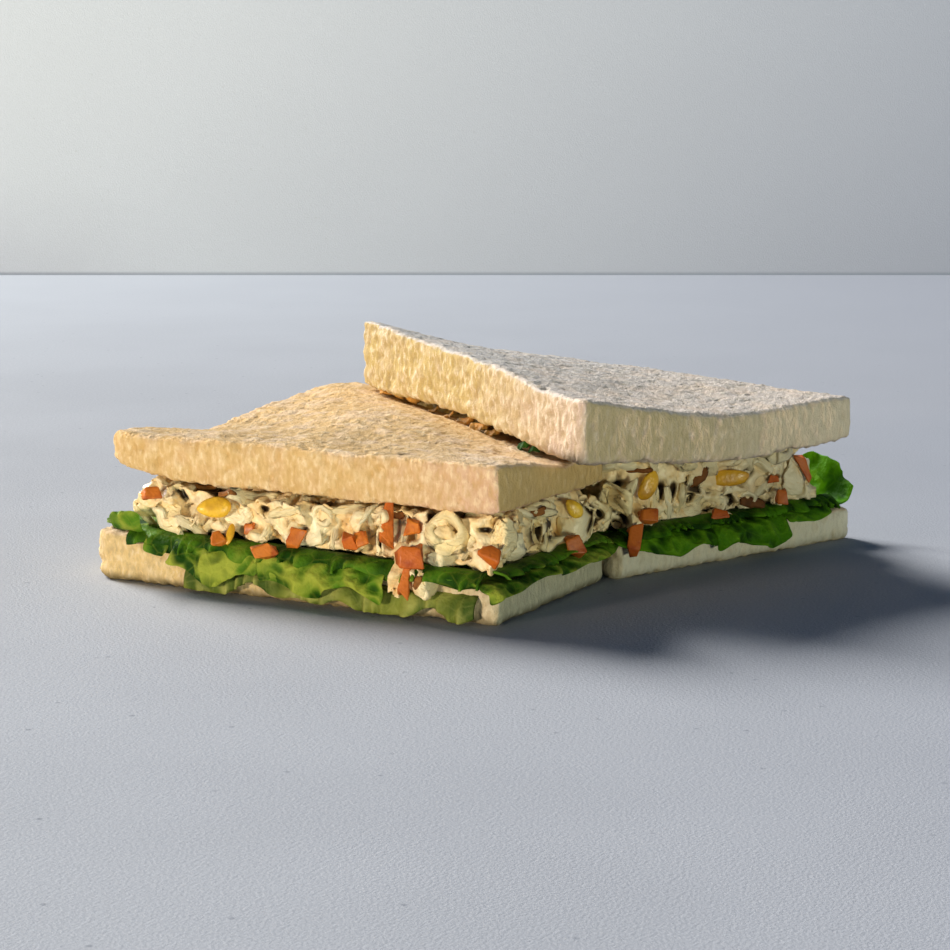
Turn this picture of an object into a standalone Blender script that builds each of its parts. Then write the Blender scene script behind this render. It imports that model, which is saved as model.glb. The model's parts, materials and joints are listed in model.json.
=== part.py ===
"""Shredded chicken sandwich on white bread without crusts, cut into two halves.

Units are metres, +Z is up. X runs across the two halves, from the outer cut side of the left half
to the back of the right half, and Y runs along the slices. The plan is measured from the near
corner of the left half, and at the end everything is moved so that the origin is at the bottom
centre. The right half is turned outward, and its top slice has slid onto the left half.
"""
import math
import random

import bmesh
import bpy
from mathutils import Matrix, Vector, noise

MM = 0.001

# Plan corners in mm: near-left, far-left, near-right, far-right of each piece of bread
LEFT_CORNERS = ((0, 0), (-0.5, 102.5), (50, 0), (97, 98))
LEFT_LID_CORNERS = ((0, 0), (0.5, 98.5), (50, 0), (97, 97))
RIGHT_CORNERS = ((51.5, -2.5), (104.5, 93.5), (121.5, -31.5), (147, 76))
SLID_CORNERS = ((24, -7), (83, 81.5), (97, -40), (126, 65))

# Heights in mm at the same four corners
LEFT_BASE_TOP = (7.8, 11.0, 8.0, 9.5)
RIGHT_BASE_TOP = (8.0, 9.0, 8.0, 8.8)
LEFT_LID_UNDER = (23.0, 23.2, 22.2, 22.0)
LEFT_LID_TOP = (33.6, 33.2, 28.0, 29.6)
SLID_UNDER = (31.0, 34.6, 28.6, 28.6)
SLID_TOP = (45.4, 50.6, 38.6, 39.4)

# Swells and sags of a slice: height in mm, then place and spread as shares of its two sides
LEFT_LID_UNDER_SWELLS = ((3.2, 1.0, 0.0, 0.11, 0.35),)
LEFT_LID_SWELLS = ((3.8, 0.55, 0.68, 0.26, 0.30), (4.3, 0.88, 0.97, 0.17, 0.20),
                   (-3.6, 1.0, 0.38, 0.25, 0.15), (-1.4, 0.04, 0.58, 0.15, 0.20))
SLID_UNDER_SWELLS = ((-2.9, 0.0, 0.55, 0.30, 0.35), (-1.2, 0.12, 0.0, 0.10, 0.20),
                     (1.2, 0.60, 0.0, 0.22, 0.20), (-0.7, 0.88, 0.08, 0.12, 0.20))
SLID_TOP_SWELLS = ((-4.6, 0.0, 0.48, 0.34, 0.36), (-1.6, 0.16, 0.0, 0.09, 0.20),
                   (-1.8, 1.0, 0.62, 0.30, 0.25))

# Bread
EDGE_ROUND = 1.1 * MM
EDGE_ANGLE = math.radians(52)
CORNER_ROUND = 0.06
CORNER_SEGMENTS = 3
CRUMB_WAVE = 15 * MM
CRUMB_WAVE_DEPTH = 0.45 * MM
CRUMB_BUMP = 4.5 * MM
CRUMB_BUMP_DEPTH = 0.2 * MM
BASE_CUTS = (11, 6, 2)
LID_CUTS = (12, 8, 2)

# Lettuce
LEAF_THICKNESS = 0.6 * MM
LEAF_LIFT = 0.8 * MM
LEAF_BEND = 3.2 * MM
LEAF_BEND_MOST = math.radians(78)
LEAF_RIPPLE_INSIDE = 0.15 * MM
LEAF_RIPPLE_EDGE = 0.9 * MM
LEAF_RIPPLE_LENGTH = 13 * MM
LEAF_CRINKLE = 6 * MM
LEAF_FRILL = 0.16
LEAF_FRILL_LENGTH = 16 * MM
LEAF_FINE_STEP = 3.6 * MM
LEAF_MOST_ROWS = 9
LEAF_COARSE_STEP = 28 * MM
OUT_ROWS = 3

# Filling
LEAF_LAYER = 2.1 * MM
CEILING_GAP = 0.75 * MM
CORE_LUMP = 8 * MM
CORE_LUMP_DEPTH = 0.9 * MM
HEAP_EDGE = 13.5 * MM
HEAP_RISE = 22 * MM
HEAP_SHOULDER = 17 * MM
PIECE_ROOT = 2.5 * MM
LAYER_HEIGHT = 14 * MM
CROWDING = 0.33
SHRED_CUTS = (-0.2, 0.2)
SHRED_TAPER = 1.6
DICE_TAPER = 0.3
HANG_CLEAR = 1.2 * MM
HANG_DEPTH = 4.2 * MM
SEED = 11

# Mixed pieces along the sides: how often each kind comes, and its length and width in mm
KIND_SHARES = {"shred": 64, "lobe": 18, "dice": 10, "corn": 8}
KIND_SIZES = {"shred": ((10, 16), (3.2, 4.6)), "lobe": ((6, 9), (5, 7.5)),
              "dice": ((3.6, 5.5), (3.2, 4.6)), "corn": ((6, 8), (4.4, 5.6))}

# Pieces on the open slope of the heap: how often, and length, width and depth in mm
CROWN_SHARES = {"shred": 60, "dice": 22, "corn": 18}
CROWN_SIZES = {"shred": (12, 4.4, 3.4), "dice": (4.6, 4.2, 4), "corn": (7, 5, 4.4)}


def plan_vector(pair):
    return Vector(pair) * MM


def smoothstep(value):
    value = min(max(value, 0.0), 1.0)
    return value * value * (3 - 2 * value)


# Plans and surfaces
class Patch:
    """A four-sided plan: u runs from its near side to its far side, v from left to right."""

    def __init__(self, corners):
        self.corners = [plan_vector(pair) for pair in corners]

    def point(self, u, v):
        near_left, far_left, near_right, far_right = self.corners
        near = near_left.lerp(near_right, v)
        return near.lerp(far_left.lerp(far_right, v), u)

    def find(self, place):
        """The u and v of a plan point, by Newton's method."""
        near_left, far_left, near_right, far_right = self.corners
        u, v = 0.5, 0.5
        for _ in range(8):
            miss = place - self.point(u, v)
            along_u = (far_left - near_left).lerp(far_right - near_right, v)
            along_v = (near_right - near_left).lerp(far_right - far_left, u)
            area = along_u.cross(along_v)
            u += miss.cross(along_v) / area
            v += along_u.cross(miss) / area
        return u, v

    def side(self, name):
        """The two ends of a side, so that the outside lies on its right hand."""
        near_left, far_left, near_right, far_right = self.corners
        ends = {"left": (far_left, near_left), "near": (near_left, near_right),
                "right": (near_right, far_right), "far": (far_right, far_left)}
        return ends[name]

    def outward(self, name):
        start, end = self.side(name)
        run = (end - start).normalized()
        return Vector((run.y, -run.x))


class Surface:
    """A height over a plan: flat between its corners, plus some swells."""

    def __init__(self, patch, corner_heights, swells=()):
        self.patch = patch
        self.corner_heights = corner_heights
        self.swells = swells

    def at(self, u, v):
        near_left, far_left, near_right, far_right = self.corner_heights
        near = near_left + (near_right - near_left) * v
        far = far_left + (far_right - far_left) * v
        height = near + (far - near) * u
        for depth, u0, v0, u_spread, v_spread in self.swells:
            height += depth * math.exp(-((u - u0) / u_spread) ** 2 - ((v - v0) / v_spread) ** 2)
        return height * MM

    def over(self, place):
        u, v = self.patch.find(place)
        return self.at(min(max(u, -0.15), 1.15), min(max(v, -0.15), 1.15))


LEFT = Patch(LEFT_CORNERS)
LEFT_LID = Patch(LEFT_LID_CORNERS)
RIGHT = Patch(RIGHT_CORNERS)
SLID = Patch(SLID_CORNERS)

left_base_top = Surface(LEFT, LEFT_BASE_TOP)
right_base_top = Surface(RIGHT, RIGHT_BASE_TOP)
left_lid_under = Surface(LEFT_LID, LEFT_LID_UNDER, LEFT_LID_UNDER_SWELLS)
left_lid_top = Surface(LEFT_LID, LEFT_LID_TOP, LEFT_LID_SWELLS)
slid_under = Surface(SLID, SLID_UNDER, SLID_UNDER_SWELLS)
slid_top = Surface(SLID, SLID_TOP, SLID_TOP_SWELLS)


# Scene, collections and materials
def clear_scene():
    for item in list(bpy.data.objects):
        bpy.data.objects.remove(item, do_unlink=True)


def new_collection(name):
    collection = bpy.data.collections.new(name)
    bpy.context.scene.collection.children.link(collection)
    return collection


def new_material(name, colour, roughness):
    material = bpy.data.materials.new(name)
    material.use_nodes = True
    shader = material.node_tree.nodes["Principled BSDF"]
    shader.inputs["Base Color"].default_value = (*colour, 1)
    shader.inputs["Roughness"].default_value = roughness
    shader.inputs["Metallic"].default_value = 0
    return material


def face_out(bm):
    bmesh.ops.recalc_face_normals(bm, faces=bm.faces)
    if bm.calc_volume(signed=True) < 0:
        bmesh.ops.reverse_faces(bm, faces=bm.faces)


def new_object(name, bm, collection, material=None):
    mesh = bpy.data.meshes.new(name)
    bm.to_mesh(mesh)
    bm.free()
    item = bpy.data.objects.new(name, mesh)
    collection.objects.link(item)
    if material:
        mesh.materials.append(material)
    return item


# Blocks and their mapping
def cut_block(cuts_u, cuts_v, cuts_w, rounded=()):
    """A unit cube with some upright edges rounded, sliced into equal parts three ways."""
    bm = bmesh.new()
    bmesh.ops.create_cube(bm, size=1, matrix=Matrix.Translation((0.5, 0.5, 0.5)))
    upright = [edge for edge in bm.edges
               if abs(edge.verts[0].co.z - edge.verts[1].co.z) > 0.5
               and (round(edge.verts[0].co.x), round(edge.verts[0].co.y)) in rounded]
    if upright:
        bmesh.ops.bevel(bm, geom=upright, offset=CORNER_ROUND, segments=CORNER_SEGMENTS,
                        profile=0.5, affect='EDGES')
    for axis, cuts in enumerate((cuts_u, cuts_v, cuts_w)):
        for step in range(1, cuts):
            place = Vector((0, 0, 0))
            normal = Vector((0, 0, 0))
            place[axis] = step / cuts
            normal[axis] = 1
            geometry = bm.verts[:] + bm.edges[:] + bm.faces[:]
            bmesh.ops.bisect_plane(bm, geom=geometry, dist=1e-6, plane_co=place, plane_no=normal)
    return bm


def crumb_relief(place):
    waves = noise.noise_vector(place / CRUMB_WAVE) * CRUMB_WAVE_DEPTH
    return waves + noise.noise_vector(place / CRUMB_BUMP) * CRUMB_BUMP_DEPTH


def slice_of_bread(name, patch, over, material, collection, under=None, rounded=()):
    """One slice; without a surface under it, it lies flat on the table."""
    bm = cut_block(*(LID_CUTS if under else BASE_CUTS), rounded)
    for vert in bm.verts:
        u, v, w = vert.co
        low = under.at(u, v) if under else 0.0
        height = low + (over.at(u, v) - low) * w
        place = patch.point(u, v).to_3d() + Vector((0, 0, height))
        place += crumb_relief(place)
        if w == 0 and not under:
            place.z = 0.0
        vert.co = place
    if not under:
        base = [face for face in bm.faces if all(vert.co.z == 0.0 for vert in face.verts)]
        bmesh.ops.dissolve_faces(bm, faces=base, use_verts=False)
    face_out(bm)
    item = new_object(name, bm, collection, material)
    bevel = item.modifiers.new("Soft edges", 'BEVEL')
    bevel.width = EDGE_ROUND
    bevel.segments = 2
    bevel.limit_method = 'ANGLE'
    bevel.angle_limit = EDGE_ANGLE
    return item


# Lettuce
def spread_value(values, share):
    """A value read from an evenly spaced row of them."""
    if len(values) == 1:
        return values[0]
    place = min(max(share, 0.0), 1.0) * (len(values) - 1)
    first = min(int(place), len(values) - 2)
    return values[first] + (values[first + 1] - values[first]) * smoothstep(place - first)


class Leaf:
    """A leaf that lies on the lower slice and hangs, or curls up, past its sides.

    The reaches are rows of lengths in mm beyond each side, along that side.
    """

    def __init__(self, patch, surface, u_range, v_range, near=(0,), far=(0,), left=(0,), right=(0,),
                 curl=-1, phase=0.0, frill=LEAF_FRILL):
        self.patch = patch
        self.surface = surface
        self.u_range = u_range
        self.v_range = v_range
        self.reaches = {"near": near, "far": far, "left": left, "right": right}
        self.curl = curl
        self.phase = phase
        self.frill = frill
        middle_u, middle_v = sum(u_range) / 2, sum(v_range) / 2
        self.deep = (patch.point(u_range[1], middle_v) - patch.point(u_range[0], middle_v)).length
        self.wide = (patch.point(middle_u, v_range[1]) - patch.point(middle_u, v_range[0])).length
        self.rows_u = self.rows(self.deep, "near", "far", "left", "right")
        self.rows_v = self.rows(self.wide, "left", "right", "near", "far")

    def rows(self, length, before, after, *beside):
        """Rows of the grid past the first side, on the slice, and past the last side."""
        hangs_beside = any(max(self.reaches[side]) > 0 for side in beside)
        step = LEAF_FINE_STEP if hangs_beside else LEAF_COARSE_STEP
        inner = min(max(round(length / step), 2), LEAF_MOST_ROWS)
        return (OUT_ROWS if max(self.reaches[before]) > 0 else 0, inner,
                OUT_ROWS if max(self.reaches[after]) > 0 else 0)

    @staticmethod
    def station(share, rows, before, after):
        """A share of the grid as a share of the slice and a length past its side."""
        first, inner, last = rows
        row = share * sum(rows)
        if row < first:
            return 0.0, -before * (1 - row / first)
        if row > first + inner:
            return 1.0, after * (row - first - inner) / last
        return (row - first) / inner, 0.0

    def reach(self, side, share, side_length):
        """The length past a side, with a frilled edge."""
        length = spread_value(self.reaches[side], share)
        turn = share * side_length / LEAF_FRILL_LENGTH * math.tau + self.phase
        return length * (1 + self.frill * math.sin(turn)) * MM

    def place(self, s, t):
        near, far = (self.reach(side, t, self.wide) for side in ("near", "far"))
        left, right = (self.reach(side, s, self.deep) for side in ("left", "right"))
        share_u, past_u = self.station(s, self.rows_u, near, far)
        share_v, past_v = self.station(t, self.rows_v, left, right)
        u = self.u_range[0] + (self.u_range[1] - self.u_range[0]) * share_u
        v = self.v_range[0] + (self.v_range[1] - self.v_range[0]) * share_v
        out = self.patch.outward("near" if past_u < 0 else "far") * abs(past_u)
        out += self.patch.outward("left" if past_v < 0 else "right") * abs(past_v)
        edge = self.patch.point(u, v)
        height = self.surface.at(u, v) + LEAF_LIFT
        past = out.length
        angle = min(past / LEAF_BEND, LEAF_BEND_MOST)
        straight = max(past - LEAF_BEND * LEAF_BEND_MOST, 0.0)
        forward = LEAF_BEND * math.sin(angle) + straight * math.cos(angle)
        lift = LEAF_BEND * (1 - math.cos(angle)) + straight * math.sin(angle)
        away = out.normalized() if past > 0 else Vector((0, 0))
        where = (edge + away * forward).to_3d() + Vector((0, 0, height + self.curl * lift))
        normal = (away * -self.curl * math.sin(angle)).to_3d() + Vector((0, 0, math.cos(angle)))
        return where + normal * self.ripple(edge + out, past)

    def ripple(self, flat, past):
        hang = smoothstep(past / (2 * LEAF_BEND))
        depth = LEAF_RIPPLE_INSIDE + (LEAF_RIPPLE_EDGE - LEAF_RIPPLE_INSIDE) * hang
        run = (flat.x + flat.y) / LEAF_RIPPLE_LENGTH * math.tau + self.phase
        wave = 0.6 * math.sin(run) + 0.7 * noise.noise((flat / LEAF_CRINKLE).to_3d())
        return depth * (wave + 0.5 * hang)


def make_leaf(name, leaf, material, collection):
    bm = bmesh.new()
    bmesh.ops.create_grid(bm, x_segments=sum(leaf.rows_u), y_segments=sum(leaf.rows_v), size=0.5,
                          matrix=Matrix.Translation((0.5, 0.5, 0)))
    for vert in bm.verts:
        vert.co = leaf.place(vert.co.x, vert.co.y)
    bmesh.ops.triangulate(bm, faces=bm.faces, quad_method='SHORT_EDGE')
    if sum(face.normal.z for face in bm.faces) < 0:
        bmesh.ops.reverse_faces(bm, faces=bm.faces)
    item = new_object(name, bm, collection, material)
    solidify = item.modifiers.new("Leaf thickness", 'SOLIDIFY')
    solidify.thickness = LEAF_THICKNESS
    solidify.offset = 1.0
    return item


# Each leaf: plan range in shares, then its reach past the sides
def lettuce_leaves():
    left = {
        "1": Leaf(LEFT, left_base_top, (0.0, 0.248), (0.0, 1.0), near=(2.5, 4, 3, 3.5, 4.5, 3),
                  left=(3.5, 3, 0.2, 0, 0), phase=0.4),
        "2": Leaf(LEFT, left_base_top, (0.256, 0.53), (0.0, 0.99), left=(8, 6.5, 9, 7), phase=2.0),
        "3": Leaf(LEFT, left_base_top, (0.54, 0.76), (0.0, 0.99), left=(7, 9.5, 8), phase=3.5),
        "4": Leaf(LEFT, left_base_top, (0.77, 0.83), (0.0, 0.99), left=(6, 4.5), phase=5.1),
        "5": Leaf(LEFT, left_base_top, (0.84, 1.0), (0.03, 0.99), far=(0, 2, 5, 6, 4, 6, 3),
                  phase=1.0),
        "6": Leaf(LEFT, left_base_top, (0.84, 0.925), (0.0, 0.022), left=(6.0, 7.2, 6.6), curl=1,
                  phase=1.6),
    }
    right = {
        "1": Leaf(RIGHT, right_base_top, (0.0, 0.32), (0.0, 0.36), near=(1.5, 5, 7.5, 4, 7),
                  phase=0.8),
        "2": Leaf(RIGHT, right_base_top, (0.0, 0.32), (0.375, 0.66), near=(7, 6.5, 7.5, 8),
                  phase=2.6),
        "3": Leaf(RIGHT, right_base_top, (0.0, 0.32), (0.675, 0.86), near=(4.5, 4, 3), phase=4.4),
        "4": Leaf(RIGHT, right_base_top, (0.0, 0.24), (0.875, 0.945), right=(5.5, 12, 12.5, 8, 2),
                  curl=1, phase=1.9, frill=0.05),
        "5": Leaf(RIGHT, right_base_top, (0.33, 0.66), (0.0, 1.0), right=(4, 6, 3, 6), phase=3.0),
        "6": Leaf(RIGHT, right_base_top, (0.67, 1.0), (0.0, 1.0), right=(6, 3, 5), phase=5.5,
                  far=(0, 3, 6, 4, 6, 5)),
    }
    return left, right


# Filling
class Layer:
    """The room for the filling of one half: a plan, a floor and a ceiling."""

    def __init__(self, patch, floor, ceiling, insets, heap_sides=()):
        self.patch = patch
        self.floor_surface = floor
        self.ceiling_surface = ceiling
        self.insets = insets
        self.heap_sides = heap_sides

    def floor(self, place):
        return self.floor_surface.over(place) + LEAF_LAYER

    def inside(self, place, side):
        """How far a plan point lies inside a side."""
        return (self.patch.side(side)[0] - place).dot(self.patch.outward(side))

    def ceiling(self, place):
        height = self.ceiling_surface.over(place) - CEILING_GAP
        for side in self.heap_sides:
            depth = self.inside(place, side) - self.insets[side] * MM
            height = min(height, HEAP_EDGE + HEAP_RISE * smoothstep(depth / HEAP_SHOULDER))
        return height

    def held(self, place, margin=0.0):
        """A point kept between the floor and the ceiling."""
        flat = place.to_2d()
        low, high = self.floor(flat) + margin, self.ceiling(flat) - margin
        return Vector((place.x, place.y, min(max(place.z, low), high)))

    def outline_point(self, u, v):
        """A share of the plan inside the insets."""
        place = self.patch.point(u, v)
        place -= self.patch.outward("near") * self.insets["near"] * MM * (1 - u)
        place -= self.patch.outward("far") * self.insets["far"] * MM * u
        place -= self.patch.outward("left") * self.insets["left"] * MM * (1 - v)
        return place - self.patch.outward("right") * self.insets["right"] * MM * v


LEFT_LAYER = Layer(LEFT, left_base_top, left_lid_under, {"near": 3, "far": 14, "left": 3, "right": 2})
RIGHT_LAYER = Layer(RIGHT, right_base_top, slid_under, {"near": 3, "far": 4, "left": 2, "right": 9},
                    ("right", "far"))


def filling_core(name, layer, collection, cuts=(10, 7, 2)):
    bm = cut_block(*cuts, rounded=((0, 0), (1, 0), (0, 1), (1, 1)))
    for vert in bm.verts:
        u, v, w = vert.co
        flat = layer.outline_point(u, v)
        low, high = layer.floor(flat), layer.ceiling(flat)
        place = flat.to_3d() + Vector((0, 0, low + (high - low) * w))
        lump = noise.noise_vector(place / CORE_LUMP) * CORE_LUMP_DEPTH
        vert.co = layer.held(place + lump)
    face_out(bm)
    return new_object(name, bm, collection)


def shred_shape(length, width, depth, bend):
    """A strip of torn meat with narrow ends, bent along its length."""
    bm = bmesh.new()
    bmesh.ops.create_cube(bm, size=1)
    for place in SHRED_CUTS:
        geometry = bm.verts[:] + bm.edges[:] + bm.faces[:]
        bmesh.ops.bisect_plane(bm, geom=geometry, dist=1e-6, plane_co=(place, 0, 0),
                               plane_no=(1, 0, 0))
    for vert in bm.verts:
        x, y, z = vert.co
        narrow = 1 - SHRED_TAPER * x * x
        vert.co = Vector((x * length, y * depth, z * width * narrow + bend * (x * x * 4 - 0.5)))
    return bm


def lobe_shape(length, width, depth, bend):
    """A rounded lump, flat at the back."""
    bm = bmesh.new()
    bmesh.ops.create_uvsphere(bm, u_segments=7, v_segments=4, radius=0.5)
    for vert in bm.verts:
        x, y, z = vert.co
        vert.co = Vector((x * length, y * depth, z * width + bend * x))
    return bm


def dice_shape(length, width, depth, bend):
    """A small cut block of carrot, a little out of square."""
    bm = bmesh.new()
    bmesh.ops.create_cube(bm, size=1)
    for vert in bm.verts:
        x, y, z = vert.co
        vert.co = Vector((x * length * (1 - DICE_TAPER * z), y * depth, z * width + bend * x))
    return bm


SHAPES = {"shred": shred_shape, "lobe": lobe_shape, "dice": dice_shape, "corn": lobe_shape}


class Piece:
    """One piece at a side: where along it, how high in the layer, and its size in mm."""

    def __init__(self, kind, side, along, height, size, tilt=0.0, proud=0.8, bend=0.0, hanging=False):
        self.kind = kind
        self.side = side
        self.along = along
        self.height = height
        self.size = size
        self.tilt = tilt
        self.proud = proud
        self.bend = bend
        self.hanging = hanging
        self.margin = (0.15 + 0.3 * (along * 7.3 % 1)) * MM

    def covers(self, other, layer):
        """Whether the middles of two pieces at one side lie closer than their sizes allow."""
        if other.side != self.side:
            return False
        start, end = layer.patch.side(self.side)
        apart = abs(self.along - other.along) * (end - start).length
        above = abs(self.height - other.height) * LAYER_HEIGHT
        reach, rise = (CROWDING * (one + two) * MM for one, two in zip(self.size, other.size))
        return apart < reach and above < rise


def make_piece(name, piece, layer, collection):
    """The piece stands out from its side by its proud length and stays within the layer."""
    length, width = (value * MM for value in piece.size)
    proud = piece.proud * MM
    depth = HANG_DEPTH if piece.hanging else proud + PIECE_ROOT
    bm = SHAPES[piece.kind](length, width, depth, piece.bend * MM)
    start, end = layer.patch.side(piece.side)
    outward = layer.patch.outward(piece.side).to_3d()
    run = (end - start).to_3d().normalized()
    inset = layer.insets[piece.side] * MM
    flat = start.lerp(end, piece.along).to_3d() - outward * inset
    centre = flat + outward * (proud - depth / 2)
    floor, ceiling = layer.floor(flat.to_2d()), layer.ceiling(flat.to_2d())
    centre.z = floor + (ceiling - floor) * piece.height
    frame = Matrix((run, outward, Vector((0, 0, 1)))).transposed().to_4x4()
    frame = Matrix.Translation(centre) @ frame @ Matrix.Rotation(piece.tilt, 4, 'Y')
    bmesh.ops.transform(bm, matrix=frame, verts=bm.verts)
    for vert in bm.verts:
        if piece.hanging:
            past = (vert.co - start.to_3d()).dot(outward)
            vert.co += outward * max(HANG_CLEAR - past, 0.0)
        else:
            vert.co = layer.held(vert.co, piece.margin)
    face_out(bm)
    return new_object(name, bm, collection)


# The pieces that stand out on the two open sides that show most, with the lump that hangs down
LEFT_FEATURES = (
    Piece("dice", "left", 0.155, 0.60, (5.5, 4.0), tilt=0.3, proud=3.5),
    Piece("corn", "left", 0.32, 0.70, (8.0, 6.0), proud=3.6),
    Piece("dice", "left", 0.345, 0.22, (5.5, 3.6), tilt=0.5, proud=3.4),
    Piece("dice", "left", 0.43, 0.12, (6.0, 3.2), tilt=-0.2, proud=3.4),
    Piece("dice", "left", 0.50, 0.35, (5.0, 4.0), tilt=0.8, proud=3.2),
    Piece("dice", "left", 0.665, 0.33, (5.5, 4.5), tilt=-0.3, proud=3.4),
    Piece("dice", "left", 0.73, 0.55, (2.4, 10.5), tilt=0.05, proud=4.0),
    Piece("dice", "left", 0.775, 0.15, (5.0, 5.5), tilt=0.2, proud=4.2),
    Piece("lobe", "left", 0.86, 0.62, (10.5, 9.5), proud=4.8),
    Piece("dice", "left", 0.965, 0.28, (5.5, 4.6), tilt=0.35, proud=4.0),
    Piece("lobe", "near", 0.25, 0.50, (5.5, 10.5), proud=3.8),
    Piece("corn", "near", 0.70, 0.72, (4.6, 6.5), tilt=0.4, proud=3.8),
    Piece("dice", "near", 0.70, 0.12, (4.2, 4.6), tilt=0.1, proud=4.0),
    Piece("lobe", "near", 0.50, 0.45, (9.5, 11.5), proud=3.6),
)
HANGING = (
    Piece("lobe", "left", 0.80, 0.20, (9.0, 8.0), proud=7.0),
    Piece("lobe", "left", 0.805, -0.06, (8.5, 8.5), proud=7.2, hanging=True),
    Piece("dice", "left", 0.785, -0.26, (3.8, 6.0), tilt=0.15, proud=7.9, hanging=True),
    Piece("shred", "left", 0.835, -0.20, (7.0, 4.2), tilt=0.6, proud=7.4, hanging=True),
)
RIGHT_FEATURES = (
    Piece("dice", "near", 0.115, 0.22, (5.0, 5.0), tilt=0.4, proud=3.8),
    Piece("dice", "near", 0.07, 0.06, (3.4, 6.5), tilt=0.1, proud=4.0),
    Piece("corn", "near", 0.13, 0.80, (5.5, 7.0), tilt=-0.3, proud=3.6),
    Piece("corn", "near", 0.46, 0.78, (12.0, 4.6), tilt=-0.08, proud=3.4),
    Piece("dice", "near", 0.43, 0.08, (5.5, 3.6), tilt=-0.2, proud=3.6),
    Piece("dice", "near", 0.665, 0.14, (4.0, 4.0), tilt=0.3, proud=3.6),
    Piece("dice", "near", 0.79, 0.55, (2.6, 7.5), tilt=-0.35, proud=3.6),
    Piece("dice", "near", 0.655, 0.55, (4.6, 3.0), proud=3.4),
    Piece("lobe", "near", 0.26, 0.45, (7.5, 10.0), proud=3.4),
    Piece("lobe", "near", 0.88, 0.70, (8.0, 9.5), tilt=0.3, proud=3.4),
)


def side_rows(layer, side, rng, taken=(), rows=(0.24, 0.72), proud=(2.6, 4.2), ends=(0.05, 0.95),
              spacing=8.2):
    """Rows of mixed pieces along a side, left out where a chosen piece lies."""
    start, end = layer.patch.side(side)
    count = round((end - start).length / (spacing * MM))
    pieces = []
    for row, level in enumerate(rows):
        for step in range(count):
            share = (step + 0.5 * row + rng.uniform(0.1, 0.4)) / count
            kind = rng.choices(list(KIND_SHARES), list(KIND_SHARES.values()))[0]
            size = [rng.uniform(*limits) for limits in KIND_SIZES[kind]]
            tilt = rng.uniform(-0.7, 0.7)
            stand = rng.uniform(*proud)
            bend = rng.uniform(-1.4, 1.4)
            place = level + rng.uniform(-0.1, 0.1)
            piece = Piece(kind, side, share, place, size, tilt, stand, bend)
            hidden = any(piece.covers(other, layer) for other in taken)
            if not hidden and ends[0] < share < ends[1]:
                pieces.append(piece)
    return pieces


def left_pieces():
    rng = random.Random(SEED)
    pieces = list(LEFT_FEATURES + HANGING)
    pieces += side_rows(LEFT_LAYER, "left", rng, LEFT_FEATURES, ends=(0.10, 0.98), spacing=7.6)
    pieces += side_rows(LEFT_LAYER, "near", rng, LEFT_FEATURES, ends=(0.08, 0.97), spacing=7.6)
    pieces += side_rows(LEFT_LAYER, "right", rng, rows=(0.5,), proud=(0.6, 1.3), ends=(0.05, 0.90))
    pieces += side_rows(LEFT_LAYER, "far", rng, ends=(0.06, 0.94), spacing=9.5)
    return pieces


def right_pieces():
    rng = random.Random(SEED + 1)
    pieces = list(RIGHT_FEATURES)
    pieces += side_rows(RIGHT_LAYER, "near", rng, RIGHT_FEATURES, rows=(0.18, 0.5, 0.82),
                        ends=(0.03, 0.90), spacing=9.0)
    pieces += side_rows(RIGHT_LAYER, "left", rng, rows=(0.5,), proud=(0.6, 1.3), ends=(0.06, 0.95))
    pieces += side_rows(RIGHT_LAYER, "right", rng, rows=(0.5,), ends=(0.10, 0.95))
    pieces += side_rows(RIGHT_LAYER, "far", rng, rows=(0.4,), ends=(0.08, 0.92))
    return pieces


def crown_pieces(layer, collection, count=(13, 6)):
    """Pieces that lie on the open slope of the heap, in one row along each heaped side."""
    rng = random.Random(SEED + 2)
    for side, number in zip(layer.heap_sides, count):
        start, end = layer.patch.side(side)
        outward = layer.patch.outward(side)
        for step in range(number):
            share = 0.07 + 0.86 * (step + rng.uniform(0.1, 0.9)) / number
            depth = layer.insets[side] * MM + rng.uniform(4, 8) * MM
            flat = start.lerp(end, share) - outward * depth
            kind = rng.choices(list(CROWN_SHARES), list(CROWN_SHARES.values()))[0]
            size = (value * MM for value in CROWN_SIZES[kind])
            bm = SHAPES[kind](*size, rng.uniform(-1.2, 1.2) * MM)
            turn = Matrix.Rotation(rng.uniform(0, math.pi), 4, 'Z')
            lay = Matrix.Rotation(math.radians(90), 4, 'X')
            centre = flat.to_3d() + Vector((0, 0, layer.ceiling(flat)))
            bmesh.ops.transform(bm, matrix=Matrix.Translation(centre) @ turn @ lay, verts=bm.verts)
            for vert in bm.verts:
                limit = slid_under.over(vert.co.to_2d()) - CEILING_GAP
                vert.co.z = min(vert.co.z, limit)
            face_out(bm)
            new_object(f"crown piece {side} {step}", bm, collection)


def fuse(core, collection):
    """Unite the core with every piece in a collection, then drop the pieces."""
    union = core.modifiers.new("Fused pieces", 'BOOLEAN')
    union.operation = 'UNION'
    union.operand_type = 'COLLECTION'
    union.collection = collection
    union.solver = 'MANIFOLD'
    view = bpy.context.evaluated_depsgraph_get()
    view.update()
    mesh = bpy.data.meshes.new_from_object(core.evaluated_get(view))
    core.modifiers.clear()
    core.data = mesh
    for item in list(collection.objects):
        bpy.data.objects.remove(item, do_unlink=True)


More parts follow.
